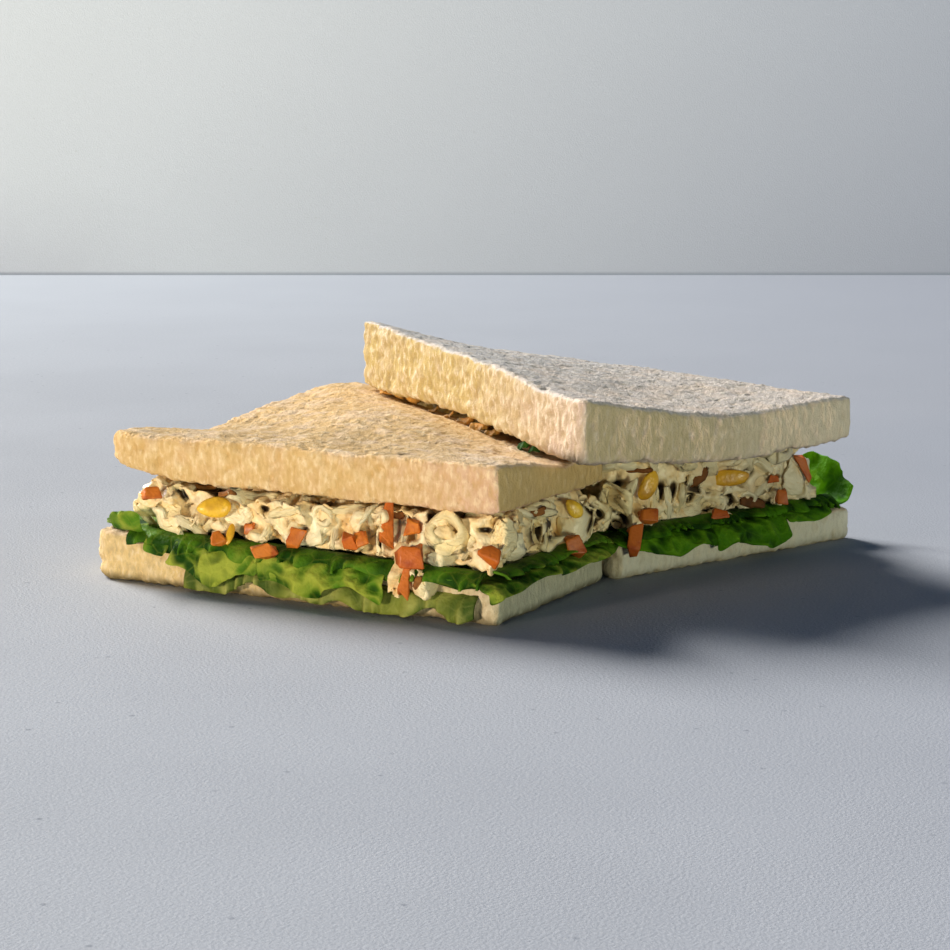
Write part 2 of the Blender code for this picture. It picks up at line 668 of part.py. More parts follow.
def keep_outer_shell(item, material):
    """Fill sealed hollows and drop loose scraps: only the largest closed shell stays."""
    bm = bmesh.new()
    bm.from_mesh(item.data)
    waiting = set(bm.faces)
    shells = []
    while waiting:
        front = [waiting.pop()]
        shell = list(front)
        while front:
            face = front.pop()
            near = [other for edge in face.edges for other in edge.link_faces if other in waiting]
            waiting.difference_update(near)
            near = list(dict.fromkeys(near))
            front += near
            shell += near
        shells.append(shell)
    outer = max(shells, key=len)
    spare = [face for shell in shells if shell is not outer for face in shell]
    bmesh.ops.delete(bm, geom=spare, context='FACES')
    bm.to_mesh(item.data)
    bm.free()
    item.data.materials.clear()
    item.data.materials.append(material)


def make_filling(name, layer, pieces, material, parts):
    core = filling_core(name, layer, parts)
    cutters = new_collection(f"{name} pieces")
    for number, piece in enumerate(pieces):
        make_piece(f"{name} piece {number}", piece, layer, cutters)
    if layer.heap_sides:
        crown_pieces(layer, cutters)
    fuse(core, cutters)
    bpy.data.collections.remove(cutters)
    keep_outer_shell(core, material)
    return core


def stand_on_origin(collection):
    """Move every object so that the origin is at the bottom centre of the whole."""
    view = bpy.context.evaluated_depsgraph_get()
    view.update()
    corners = [item.matrix_world @ Vector(corner) for item in collection.objects
               for corner in item.evaluated_get(view).bound_box]
    low = Vector([min(corner[axis] for corner in corners) for axis in range(3)])
    high = Vector([max(corner[axis] for corner in corners) for axis in range(3)])
    shift = Vector(((low.x + high.x) / 2, (low.y + high.y) / 2, low.z))
    for item in collection.objects:
        item.location -= shift


def build():
    noise.seed_set(SEED)
    clear_scene()
    parts = new_collection("shredded_chicken_sandwich")
    crumb = new_material("white bread", (0.80, 0.66, 0.45), 0.9)
    green = new_material("lettuce", (0.12, 0.30, 0.03), 0.5)
    mix = new_material("chicken filling", (0.78, 0.62, 0.40), 0.6)
    slice_of_bread("bread_bottom_left", LEFT, left_base_top, crumb, parts, rounded=((1, 0),))
    slice_of_bread("bread_bottom_right", RIGHT, right_base_top, crumb, parts)
    slice_of_bread("bread_top_left", LEFT_LID, left_lid_top, crumb, parts, under=left_lid_under,
                   rounded=((1, 0),))
    slice_of_bread("bread_top_right", SLID, slid_top, crumb, parts, under=slid_under)
    left, right = lettuce_leaves()
    for half, leaves in (("left", left), ("right", right)):
        for number, leaf in leaves.items():
            make_leaf(f"lettuce_{half}_{number}", leaf, green, parts)
    make_filling("filling_left", LEFT_LAYER, left_pieces(), mix, parts)
    make_filling("filling_right", RIGHT_LAYER, right_pieces(), mix, parts)
    stand_on_origin(parts)


build()
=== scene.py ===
# %% [markdown]
# Shredded chicken sandwich. Soft white bread without its crusts is cut into two halves. The right
# half is turned outward, and its top slice has slid over onto the left half like a roof tile.
# The frame brings the solids at their true size. This script gives them their looks: an open
# crumb, ruffled lettuce, and a filling of real strips, dice and kernels in place of one lump.

# %% The frame and its box
import json
import math
import random

import bpy
from mathutils import Matrix, Vector, noise
from mathutils.bvhtree import BVHTree

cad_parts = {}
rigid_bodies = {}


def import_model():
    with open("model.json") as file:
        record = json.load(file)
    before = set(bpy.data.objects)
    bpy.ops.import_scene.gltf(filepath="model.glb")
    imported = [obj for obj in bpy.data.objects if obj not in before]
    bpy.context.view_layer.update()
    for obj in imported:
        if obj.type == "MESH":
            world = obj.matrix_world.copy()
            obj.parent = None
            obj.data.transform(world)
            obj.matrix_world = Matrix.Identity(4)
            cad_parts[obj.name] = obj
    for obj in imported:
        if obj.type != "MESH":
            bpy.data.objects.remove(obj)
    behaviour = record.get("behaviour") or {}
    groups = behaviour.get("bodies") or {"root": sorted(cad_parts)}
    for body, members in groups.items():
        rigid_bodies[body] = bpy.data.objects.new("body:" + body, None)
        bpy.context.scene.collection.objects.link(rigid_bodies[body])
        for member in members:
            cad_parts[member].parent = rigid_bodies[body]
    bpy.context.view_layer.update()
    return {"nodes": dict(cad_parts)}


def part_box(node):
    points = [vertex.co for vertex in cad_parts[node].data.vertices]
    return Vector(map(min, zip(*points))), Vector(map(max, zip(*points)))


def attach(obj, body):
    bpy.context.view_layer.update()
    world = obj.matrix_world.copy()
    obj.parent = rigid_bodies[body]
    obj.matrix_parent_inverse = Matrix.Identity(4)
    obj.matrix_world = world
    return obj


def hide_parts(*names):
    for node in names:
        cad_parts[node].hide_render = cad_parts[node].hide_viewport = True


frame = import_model()
SEED = 7
MM = 0.001
noise.seed_set(SEED)
print("nodes in the frame:", len(frame["nodes"]))

# %% [markdown]
# The camera comes first. The photograph was taken from low down in front of the near corner of
# the left half, with a long lens, so the place of the camera is named from that corner. The same
# numbers later turn a pixel of the photograph into a line of sight, which is how the pores, the
# dice of carrot and the kernels of corn find their places.

# %% The camera
PHOTO_SIDE = 950
MIDDLE = PHOTO_SIDE / 2
FOCAL_PIXELS = 2500
NEAR_CORNER = Vector((-72.47, -32.7, 0)) * MM
CAMERA_PLACE = NEAR_CORNER + Vector((-438.34, -231.25, 119.0)) * MM
CAMERA_TURN = math.radians(-61.645)
CAMERA_TILT = math.radians(10)
SENSOR = 36
CLIP_START = 0.01

level = math.cos(CAMERA_TILT)
view_back = Vector((math.sin(CAMERA_TURN) * level, -math.cos(CAMERA_TURN) * level,
                    math.sin(CAMERA_TILT)))
view_right = Vector((math.cos(CAMERA_TURN), math.sin(CAMERA_TURN), 0))
view_up = view_back.cross(view_right)

bpy.ops.object.camera_add(location=CAMERA_PLACE,
                          rotation=view_back.to_track_quat('Z', 'Y').to_euler())
camera = bpy.context.object
camera.data.sensor_width = SENSOR
camera.data.lens = FOCAL_PIXELS / PHOTO_SIDE * SENSOR
camera.data.clip_start = CLIP_START
bpy.context.scene.camera = camera
print("lens", round(camera.data.lens, 1), "mm")


def sight(x, y):
    """The line of sight through a pixel of the photograph."""
    across = view_right * (x - MIDDLE) / FOCAL_PIXELS
    upward = view_up * (MIDDLE - y) / FOCAL_PIXELS
    return (across + upward - view_back).normalized()


def pixel_of(place):
    """The pixel of the photograph that a point falls on."""
    away = place - CAMERA_PLACE
    depth = -away.dot(view_back)
    return (MIDDLE + FOCAL_PIXELS * away.dot(view_right) / depth,
            MIDDLE - FOCAL_PIXELS * away.dot(view_up) / depth)


PIXEL = CAMERA_PLACE.length / FOCAL_PIXELS
print("a pixel is about", round(PIXEL / MM, 2), "mm on the sandwich")


# %% [markdown]
# An operator in Blender acts on all that is selected, and loading the frame leaves its nodes
# selected. These helpers let go of everything first, and then add or take one piece.

# %% Taking, finishing and copying a piece
MERGE = 1e-5


def let_go():
    bpy.ops.object.select_all(action='DESELECT')


def add(name, operator, **settings):
    """Add a primitive or a light with nothing else selected, and name it."""
    let_go()
    operator(**settings)
    bpy.context.object.name = name
    return bpy.context.object


def take(piece):
    let_go()
    piece.select_set(True)
    bpy.context.view_layer.objects.active = piece
    return piece


def finish_with(piece, kind, **settings):
    """Add a modifier, set it and apply it."""
    take(piece)
    modifier = piece.modifiers.new(kind.title(), kind)
    for setting, value in settings.items():
        setattr(modifier, setting, value)
    bpy.ops.object.modifier_apply(modifier=modifier.name)


def edit(piece, *steps):
    """Run edit-mode steps on all of a piece."""
    take(piece)
    bpy.ops.object.mode_set(mode='EDIT')
    bpy.ops.mesh.select_all(action='SELECT')
    for step in steps:
        step()
    bpy.ops.object.mode_set(mode='OBJECT')


def copy_of(node, name):
    """A copy of a solid of the frame, with its loose triangles merged."""
    piece = bpy.data.objects.new(name, frame["nodes"][node].data.copy())
    bpy.context.scene.collection.objects.link(piece)
    piece.data.materials.clear()
    edit(piece, lambda: bpy.ops.mesh.remove_doubles(threshold=MERGE))
    return piece


def fine_skin(node, name, voxel, smoothings):
    """A copy of a solid as an even skin of small faces, with its edges rounded."""
    piece = copy_of(node, name)
    finish_with(piece, 'REMESH', mode='VOXEL', voxel_size=voxel)
    finish_with(piece, 'SMOOTH', factor=0.5, iterations=smoothings)
    return piece


def set_down(piece, material, slot, *nodes):
    """Give a finished piece its material and body, and the solids that it stands for; slot is not
    used.
    """
    piece.data.materials.clear()
    piece.data.materials.append(material)
    piece.data.shade_smooth()
    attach(piece, "root")
    if nodes:
        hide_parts(*nodes)
    print(piece.name, len(piece.data.polygons), "faces")


# %% [markdown]
# Materials are small programs. Writing them as sums and products reads better than wiring nodes
# one by one, so a Socket stands for a number that varies over a surface and turns arithmetic
# into Math nodes. A Finish holds one material and makes any other node in one call.

# %% Arithmetic on sockets
class Socket:
    """An output of a node: arithmetic on it adds Math nodes."""

    def __init__(self, finish, socket):
        self.finish = finish
        self.socket = socket

    def math(self, operation, *values):
        settings = {"operation": operation}
        return self.finish.node("ShaderNodeMath", settings, dict(enumerate(values)))["Value"]

    def __add__(self, other):
        return self.math('ADD', self, other)

    __radd__ = __add__

    def __mul__(self, other):
        return self.math('MULTIPLY', self, other)

    __rmul__ = __mul__

    def __sub__(self, other):
        return self.math('SUBTRACT', self, other)

    def __rsub__(self, other):
        return self.math('SUBTRACT', other, self)

    def between(self, low, high):
        """A smooth step from 0 at low to 1 at high."""
        values = {"Value": self, "From Min": low, "From Max": high}
        return self.finish.node("ShaderNodeMapRange", {"interpolation_type": 'SMOOTHSTEP'},
                                values)["Result"]


# %% One material
class Finish:
    """A material: its constants sit on the shader, and its patterns are nodes before it."""

    def __init__(self, name, **constants):
        self.material = bpy.data.materials.new(name)
        self.material.use_nodes = True
        self.tree = self.material.node_tree
        self.shader = self.tree.nodes["Principled BSDF"]
        for words, value in constants.items():
            self.shader.inputs[words.replace("_", " ")].default_value = value
        self.place = self.node("ShaderNodeTexCoord")["Object"]

    def node(self, kind, settings=None, values=None):
        node = self.tree.nodes.new(kind)
        for setting, value in (settings or {}).items():
            setattr(node, setting, value)
        for key, value in (values or {}).items():
            self.feed(self.find(node.inputs, key), value)
        outputs = {socket.name: Socket(self, socket) for socket in node.outputs}
        outputs.update({socket.identifier: Socket(self, socket) for socket in node.outputs})
        return outputs

    @staticmethod
    def find(sockets, key):
        """A socket by its identifier, its name or its number."""
        for socket in sockets:
            if socket.identifier == key:
                return socket
        return sockets[key]

    def feed(self, socket, value):
        """Link or set a socket; a colour is written as red, green and blue."""
        if isinstance(value, Socket):
            self.tree.links.new(value.socket, socket)
        else:
            socket.default_value = (*value, 1.0) if socket.type == 'RGBA' else value

    def mix(self, first, second, share):
        """Two colours mixed by a share."""
        values = {"Factor_Float": share, "A_Color": first, "B_Color": second}
        return self.node("ShaderNodeMix", {"data_type": 'RGBA'}, values)["Result_Color"]

    def spots(self, size, detail=2.0, stretch=None):
        """Soft noise from 0 to 1, with blots of about a size in mm."""
        place = self.place
        if stretch:
            values = {"Vector": place, "Scale": stretch}
            place = self.node("ShaderNodeMapping", {}, values)["Vector"]
        values = {"Vector": place, "Scale": 1 / (size * MM), "Detail": detail}
        return self.node("ShaderNodeTexNoise", {}, values)["Fac"]

    def cells(self, size, feature='F1'):
        """The distance to the middle or the edge of cells of a size in mm."""
        values = {"Vector": self.place, "Scale": 1 / (size * MM)}
        return self.node("ShaderNodeTexVoronoi", {"feature": feature}, values)["Distance"]

    def stretched(self, stretch):
        """The UV map scaled along each axis, for a grain."""
        source = self.node("ShaderNodeTexCoord")["UV"]
        return self.node("ShaderNodeMapping", {}, {"Vector": source, "Scale": stretch})["Vector"]

    def fibres(self, stretch):
        """Noise drawn out along a piece by its UV map."""
        values = {"Vector": self.stretched(stretch), "Scale": 1.0, "Detail": 3.0}
        return self.node("ShaderNodeTexNoise", {}, values)["Fac"]

    def dot(self, vector, direction):
        """How far a vector reaches along a direction."""
        values = {0: vector, 1: tuple(direction)}
        return self.node("ShaderNodeVectorMath", {"operation": 'DOT_PRODUCT'}, values)["Value"]

    def across(self, direction, low, high):
        """A smooth step from 0 to 1 along a direction, between two distances in metres."""
        return self.dot(self.place, direction).between(low, high)

    def facing(self, direction, low, high):
        """A smooth step from surfaces that face elsewhere to those that face a direction."""
        normal = self.node("ShaderNodeNewGeometry")["Normal"]
        return self.dot(normal, direction).between(low, high)

    def attribute(self, name):
        return self.node("ShaderNodeAttribute", {"attribute_name": name})["Fac"]

    def colour(self, value):
        self.feed(self.shader.inputs["Base Color"], value)

    def relief(self, height, depth):
        """Fine relief that is too small for the mesh; its depth is in mm."""
        bump = self.node("ShaderNodeBump", {}, {"Height": height, "Distance": depth * MM})
        self.feed(self.shader.inputs["Normal"], bump["Normal"])

    def done(self):
        """Say what was made, and hand over the material."""
        print(self.material.name, len(self.tree.nodes), "nodes")
        return self.material


# %% [markdown]
# Bread crumb is a foam: walls around bubbles of all sizes, torn open where the knife went. Each
# slice starts as a copy of its solid, so that its warp stays true. A voxel remesh turns the few
# big faces into a fine even skin, smoothing rounds the soft edges, and a walk over its points
# presses the bubbles in. The walk also notes how deep each point lies, as a number called pore,
# because a picture of pores laid over the surface would not meet the real ones; the finish paints
# the pores darker by it, as painted shade. It also notes the crests of the crumb walls, which the
# finish paints paler as a painted highlight.

# %% Pressing bubbles into a skin
CRUMB_SWELL = 5.0 * MM
CRUMB_WALL = 1.7 * MM
CRUMB_GRAIN = 0.9 * MM
CRUMB_CELL = 3.1 * MM
SWELL_DEPTH = 0.45 * MM
WALL_DEPTH = 0.38 * MM
GRAIN_DEPTH = 0.33 * MM
PORE_DEPTH = 0.65 * MM
PORE_REACH = 0.42
PORE_LEAST = 0.4
CELL_SHAKE = 7.3
WALL_FLATTER = 0.8
NEAR_SIDE = Vector((0.36, -0.93, 0))
NEAR_SOFTER = 0.6
TOP_SOFTER = 0.35


def note(piece, name, values):
    """Keep a number for each point of a mesh, for its finish to read."""
    layer = piece.data.attributes.new(name, 'FLOAT', 'POINT')
    layer.data.foreach_set("value", values)


def clamp(value):
    return min(max(value, 0.0), 1.0)


def press_crumb(piece):
    """Press the bubbles in, less on the tops and the near sides; the underside stays flat."""
    flat = min(vertex.co.z for vertex in piece.data.vertices)
    normals = [vertex.normal.copy() for vertex in piece.data.vertices]
    pores, crests = [], []
    for vertex, normal in zip(piece.data.vertices, normals):
        place = vertex.co
        wall = noise.noise(Vector((place.x, place.y, place.z * WALL_FLATTER)) / CRUMB_WALL)
        distances, centres = noise.voronoi(place / CRUMB_CELL)
        reach = PORE_REACH * (PORE_LEAST + abs(noise.cell(centres[0] * CELL_SHAKE)))
        pore = clamp(1 - distances[0] / reach)
        height = noise.noise(place / CRUMB_SWELL) * SWELL_DEPTH + wall * WALL_DEPTH
        height += noise.noise(place / CRUMB_GRAIN) * GRAIN_DEPTH - pore * PORE_DEPTH
        soft = 1 - NEAR_SOFTER * max(normal.dot(NEAR_SIDE), 0)
        vertex.co = place + normal * height * soft * (1 - TOP_SOFTER * max(normal.z, 0))
        vertex.co.z = max(vertex.co.z, flat)
        # pore and crest are read by the finish: painted shade in the hollows and a painted
        # highlight on the crests.
        pores.append(clamp(pore * 0.9 - wall * 0.8) * soft)
        crests.append(clamp(wall * 1.3) * soft)
    note(piece, "pore", pores)
    note(piece, "crest", crests)


# %% [markdown]
# White bread isn't white. Its cut sides are a mottled straw yellow that turns pink towards the near
# corner, and its top is paler. Pores are painted darker by their depth, as painted shade, and the
# crests of the crumb walls paler, as a painted highlight. The sides that face the near corner lie
# in shade and get a painted shade of their own; on the slid slice it turns paler towards the far
# end as painted light. The tops turn paler towards the near corner, which on the left half is
# painted light that lifts the shadow of the slid slice, and a painted contact shadow darkens the
# lowest edge of the bottom slices. So one finish mixes a paint for each of these by where a point
# lies and which way it faces, and lays a grain over them all. The grain is stretched upright, as
# the knife drags the crumb.
# Each pair of numbers below is where a mix starts and where it is complete.

# %% Finish of the bread
# The foot is a painted contact shadow: a dark band along the lowest edge of the bread, where it
# meets the floor.
FOOT_SHADOW_PAINT = (0.06, 0.045, 0.015)
FOOT_BAND = (-2.6 * MM, -0.5 * MM)
UPRIGHT_GRAIN = (1, 1, 0.45)
LEFT_TO_RIGHT = Vector((0.475, -0.88, 0))
# FAR_END is where the painted light on the shaded near side starts and where it is complete.
FAR_END = (0.025, 0.075)
NEAR_END = (-0.01, 0.045)
TURNS_NEAR = (0.3, 0.8)
TURNS_UP = (0.35, 0.8)
MOTTLE, MOTTLE_SIZE = (0.45, 0.68), 6
PORE_SHOWS = (0.1, 0.7)
PALE_GRAIN, DEEP_GRAIN, GRAIN_SIZE = (0.5, 0.7), (0.48, 0.68), 0.9
GRAIN_SHARE = 0.45


def bread_finish(name, side, side_blush, near_side_shade, top, top_blush_and_light, deep, pale, foot=0.0,
                 far_painted_light=0.0):
    """Cut sides turn pinker towards the near corner. near_side_shade is the painted shade of the
    sides that face the near corner, and far_painted_light is how much paler, as painted light, it
    turns towards its far end; foot is how dark the painted contact shadow along the lowest edge is."""
    finish = Finish(name, Roughness=0.95, Specular_IOR_Level=0.12)
    mottle = finish.spots(MOTTLE_SIZE, 1).between(*MOTTLE)
    near = finish.across((0, -1, 0), *NEAR_END)
    flank = finish.mix(side, side_blush, near * 0.8 + mottle * 0.2)
    # Towards the near corner the tops mix to a paler paint; on the left half this is painted light
    # that lifts the shadow of the slid slice by the crease.
    crown = finish.mix(top, top_blush_and_light, near * 0.5 + mottle * 0.5)
    nearness = finish.facing(NEAR_SIDE, *TURNS_NEAR)
    # Painted shade: the sides that face the near corner lie in shade and get a paint of their own
    # for it, painted paler towards the far end as painted light.
    near_side_shade = finish.mix(near_side_shade, pale, finish.across(LEFT_TO_RIGHT, *FAR_END) * far_painted_light)
    flank = finish.mix(flank, near_side_shade, nearness * 0.85)
    face = finish.mix(flank, crown, finish.facing((0, 0, 1), *TURNS_UP))
    # Painted shade: pores are painted darker by how deep they lie.
    face = finish.mix(face, deep, finish.attribute("pore").between(*PORE_SHOWS) * GRAIN_SHARE)
    grain = finish.spots(GRAIN_SIZE, 3, UPRIGHT_GRAIN)
    force = 1 - nearness * NEAR_SOFTER
    # Painted highlight on the crests of the crumb walls, together with a random pale grain.
    crests = finish.attribute("crest") * GRAIN_SHARE + grain.between(*PALE_GRAIN) * GRAIN_SHARE
    face = finish.mix(face, pale, crests * force)
    face = finish.mix(face, deep, (1 - grain).between(*DEEP_GRAIN) * force * GRAIN_SHARE)
    # Painted contact shadow along the lowest edge, broken up by noise.
    low = finish.across((0, 0, -1), *FOOT_BAND) * finish.spots(3, 2).between(0.2, 0.5)
    finish.colour(finish.mix(face, FOOT_SHADOW_PAINT, low * foot))
    finish.relief(grain + finish.spots(0.35, 2) * 0.5, 0.35)
    return finish.done()


lid_finish = bread_finish(
    "bread of the left half", side=(0.70, 0.475, 0.21), side_blush=(0.65, 0.40, 0.295),
    near_side_shade=(0.68, 0.47, 0.17), top=(0.78, 0.51, 0.23), top_blush_and_light=(0.95, 0.72, 0.52),
    deep=(0.55, 0.34, 0.12), pale=(0.93, 0.74, 0.46))
slab_finish = bread_finish(
    "bread of the slid slice", side=(0.52, 0.39, 0.15), side_blush=(0.56, 0.43, 0.36),
    near_side_shade=(0.62, 0.49, 0.25), top=(0.66, 0.62, 0.58), top_blush_and_light=(0.84, 0.68, 0.55),
    deep=(0.49, 0.39, 0.23), pale=(0.86, 0.76, 0.60), far_painted_light=0.6)
base_paints = {"side": (0.76, 0.55, 0.25), "side_blush": (0.54, 0.48, 0.34),
               "top": (0.78, 0.55, 0.30), "top_blush_and_light": (0.72, 0.55, 0.42),
               "deep": (0.44, 0.33, 0.18), "pale": (0.88, 0.73, 0.50)}
left_base_finish = bread_finish("bread under the left half", **base_paints,
                                near_side_shade=(0.58, 0.56, 0.39), foot=0.75)
right_base_finish = bread_finish("bread under the right half", **base_paints,
                                 near_side_shade=(0.77, 0.72, 0.56), foot=0.3)

# %% The four slices
CRUMB_VOXEL = 0.65 * MM
CRUMB_SMOOTHINGS = 7


def slice_of_bread(name, node, finish):
    piece = fine_skin(node, name, CRUMB_VOXEL, CRUMB_SMOOTHINGS)
    press_crumb(piece)
    set_down(piece, finish, "bread", node)
    return piece


slice_of_bread("crumb_bottom_left", "bread_bottom_left", left_base_finish)
slice_of_bread("crumb_bottom_right", "bread_bottom_right", right_base_finish)
lid = slice_of_bread("crumb_top_left", "bread_top_left", lid_finish)
slab = slice_of_bread("crumb_top_right", "bread_top_right", slab_finish)

# %% [markdown]
# A lettuce leaf is a thin sheet that buckles at its rim. Each leaf copies its solid, which
# already lies on the bread and hangs over its edge, and is subdivided until it can carry
# crinkles. The same wandering offset is given to both of its faces, so that it stays thin. The
# height of a crinkle is noted as fold, so that shade can be painted into the hollows and a
# highlight onto the crests.

# %% Finish of the lettuce
BLOTS, BLOT_SIZE = (0.35, 0.65), 11
OUT_OF_HOLLOWS = (0.30, 0.85)
ONTO_CRESTS = (0.85, 1.35)
VEIN_MESH = 5.0
VEIN_WIDTH = 0.06
LEAF_RELIEF = 0.55


def lettuce_finish(name, dark, middle, pale, paleness):
    """Painted shade in the hollows and a painted highlight on the crests; paleness is how pale the
    hanging rim turns.
    """
    finish = Finish(name, Roughness=0.6, Specular_IOR_Level=0.08)
    fold = finish.attribute("fold")
    hang = finish.attribute("hang")
    blots = finish.spots(BLOT_SIZE, 2).between(*BLOTS)
    # Painted shade and highlight: the crinkle height noted as fold makes the hollows darker and the
    # crests paler.
    body = finish.mix(dark, middle, (fold * 0.9 + blots * 0.45).between(*OUT_OF_HOLLOWS))
    crest = (fold * 0.8 + hang * paleness + finish.spots(6, 2) * 0.7).between(*ONTO_CRESTS)
    veins = 1 - finish.cells(VEIN_MESH, 'DISTANCE_TO_EDGE').between(0.0, VEIN_WIDTH)
    finish.colour(finish.mix(body, pale, crest * 0.85 + veins * 0.12))
    finish.relief(finish.spots(1.3, 3) + finish.spots(3.0, 1) * 0.8, LEAF_RELIEF)
    return finish.done()


leaf_left = lettuce_finish("lettuce of the left half", (0.014, 0.055, 0.003),
                           (0.085, 0.20, 0.010), (0.37, 0.41, 0.05), 0.3)
leaf_right = lettuce_finish("lettuce of the right half", (0.008, 0.035, 0.002),
                            (0.055, 0.17, 0.003), (0.16, 0.34, 0.012), 0.1)
leaf_lobe = lettuce_finish("lettuce of the lobe", (0.03, 0.12, 0.002), (0.11, 0.34, 0.003),
                           (0.20, 0.46, 0.01), 0.1)

# %% The leaves
LEAF_CRINKLE = 7.5 * MM
LEAF_PLEAT = 3.2 * MM
LEAF_HANG = 4 * MM
CRINKLE_DEPTH = 1.0 * MM
PLEAT_DEPTH = 0.5 * MM
RIDGE_SHARPNESS = 3.2
FREE_LEAST = 0.35
CRINKLE_LIFT = Vector((0, 0, 0.45))
LEAF_SPREAD = 0.10
LEAF_LEVELS = 3
LEFT_END = 107
LOBE = "lettuce_right_4"
LOBE_SHIFT = 1.4 * MM
UP_CURLED = ("lettuce_left_6", LOBE)
RIM_SIDES = {"left": ((-1, 0), (0, -1), (0, 1)),
             "right": ((-0.38, -0.92), (0.97, -0.23), (0.38, 0.92))}


def middle_of(node):
    low, high = (Vector(corner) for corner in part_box(node))
    return (low + high) / 2


def rim_side(node, half):
    """The side of its half that a leaf hangs from."""
    lean = middle_of(node) - middle_of(f"filling_{half}")
    return max((Vector((*side, 0)) for side in RIM_SIDES[half]), key=lean.dot)


def ridges(place, size):
    """Noise from -1 to 1 with sharp crests, like a folded leaf."""
    return 1 - RIDGE_SHARPNESS * abs(noise.noise(place / size))


def ruffle(piece, outward, spread, upside):
    """Wander both faces of a leaf alike, more where it hangs free of the bread; spread draws it
    out along its edge, and what passes the photograph's left end is moved back."""
    run = Vector((-outward.y, outward.x, 0))
    middle = sum((vertex.co for vertex in piece.data.vertices), Vector()) / len(piece.data.vertices)
    heights = [vertex.co.z for vertex in piece.data.vertices]
    rest = min(heights) if upside else max(heights)
    folds, hangs = [], []
    for vertex in piece.data.vertices:
        free = min(abs(vertex.co.z - rest) / LEAF_HANG, 1.0)
        crinkle = ridges(vertex.co, LEAF_CRINKLE)
        pleat = ridges(vertex.co, LEAF_PLEAT)
        vertex.co += run * run.dot(vertex.co - middle) * spread
        height = crinkle * CRINKLE_DEPTH + pleat * PLEAT_DEPTH
        force = FREE_LEAST + (1 - FREE_LEAST) * free
        vertex.co += (outward * free + CRINKLE_LIFT) * height * force
        vertex.co += view_right * max(LEFT_END - pixel_of(vertex.co)[0], 0) * PIXEL
        # The fold is read by the finish for painted shade in the hollows and a painted highlight on
        # the crests.
        folds.append(clamp(0.45 + crinkle * 0.35 + pleat * 0.25))
        hangs.append(0.0 if upside else free)
    note(piece, "fold", folds)
    note(piece, "hang", hangs)


def leaf(node, half, finish):
    piece = copy_of(node, node.replace("lettuce", "leaf"))
    if node == LOBE:
        piece.data.transform(Matrix.Translation(view_right * LOBE_SHIFT))
    finish_with(piece, 'SUBSURF', levels=LEAF_LEVELS, render_levels=LEAF_LEVELS)
    outward = rim_side(node, half)
    front = outward.dot(view_back) > 0 and node not in UP_CURLED
    ruffle(piece, outward, LEAF_SPREAD if front else 0, node in UP_CURLED)
    set_down(piece, finish, "lettuce", node)


for half, finish in (("left", leaf_left), ("right", leaf_right)):
    for node in sorted(frame["nodes"]):
        if node.startswith(f"lettuce_{half}"):
            leaf(node, half, leaf_lobe if node == LOBE else finish)

# %% [markdown]
# Between the leaves, a curly frill of lettuce pokes out all along the edge of the bread. It is a
# ribbon: a grid whose one side stays tucked under the filling while the other side, the rim,
# swings in and out in pleats. A sine along the edge with a wandering length makes the pleats,
# because the rim of a real leaf is longer than the edge it hangs from and has to fold.

# %% The frills
FRILL_THICKNESS = 0.5 * MM
FRILL_STEP = 0.45 * MM
FRILL_ROWS = 9
FRILL_PLEAT = 5.5 * MM
FRILL_SWING = 1.5 * MM
FRILL_TUCK = 2.5 * MM
FRILL_LOWEST = 0.7 * MM
PHASE_RUN, FORCE_RUN, HANG_RUN = 0.008, 0.011, 0.009
LENGTH_SHIFT = 90
leaf_pale = lettuce_finish("pale lettuce", (0.06, 0.10, 0.015), (0.22, 0.25, 0.04),
                           (0.42, 0.42, 0.12), 0.4)


def stray(along, run, row, length):
    """A number that wanders along a ribbon; each row and each length has its own."""
    return noise.noise(Vector((along / run, row, length * LENGTH_SHIFT)))


def frill(name, finish, start, end, drop, bulge, vigour, node):
    """A pleated ribbon from start to end; drop and bulge are how far it hangs and stands out in
    mm, and vigour is how strong its pleats are."""
    start, end = Vector(start) * MM, Vector(end) * MM
    length = (end - start).length
    run = (end - start) / length
    outward = run.cross((0, 0, 1)).normalized()
    columns = int(length / FRILL_STEP)
    piece = add(name, bpy.ops.mesh.primitive_grid_add, x_subdivisions=columns,
                y_subdivisions=FRILL_ROWS, size=1)
    folds = []
    for vertex in piece.data.vertices:
        along, down = (vertex.co.x + 0.5) * length, vertex.co.y + 0.5
        phase = along / FRILL_PLEAT + stray(along, PHASE_RUN, 0, length) * 2.0
        force = vigour * clamp(0.8 + 1.2 * stray(along, FORCE_RUN, 7, length))
        swing = math.sin(phase * math.tau) * down * force
        hang = drop * MM * (0.75 + 0.7 * stray(along, HANG_RUN, 3, length))
        hang = min(hang, start.z - FRILL_LOWEST)
        fall = math.sin(min(down * 1.25, 1) * math.pi / 2)
        tuck = FRILL_TUCK * (1 - down) ** 2
        out = (bulge * MM * fall + swing * FRILL_SWING) - tuck
        side = math.cos(phase * math.tau) * FRILL_SWING * 0.6 * down * force
        low = Vector((0, 0, hang * down ** 1.4))
        vertex.co = start + run * (along + side) + outward * out - low
        # The fold is read by the finish for painted shade and a painted highlight.
        folds.append(clamp(0.45 + swing * 0.5 + noise.noise(vertex.co / LEAF_PLEAT) * 0.4))
    note(piece, "fold", folds)
    note(piece, "hang", [1 - vigour] * len(folds))
    finish_with(piece, 'SOLIDIFY', thickness=FRILL_THICKNESS, offset=0)
    set_down(piece, finish, "lettuce", node)


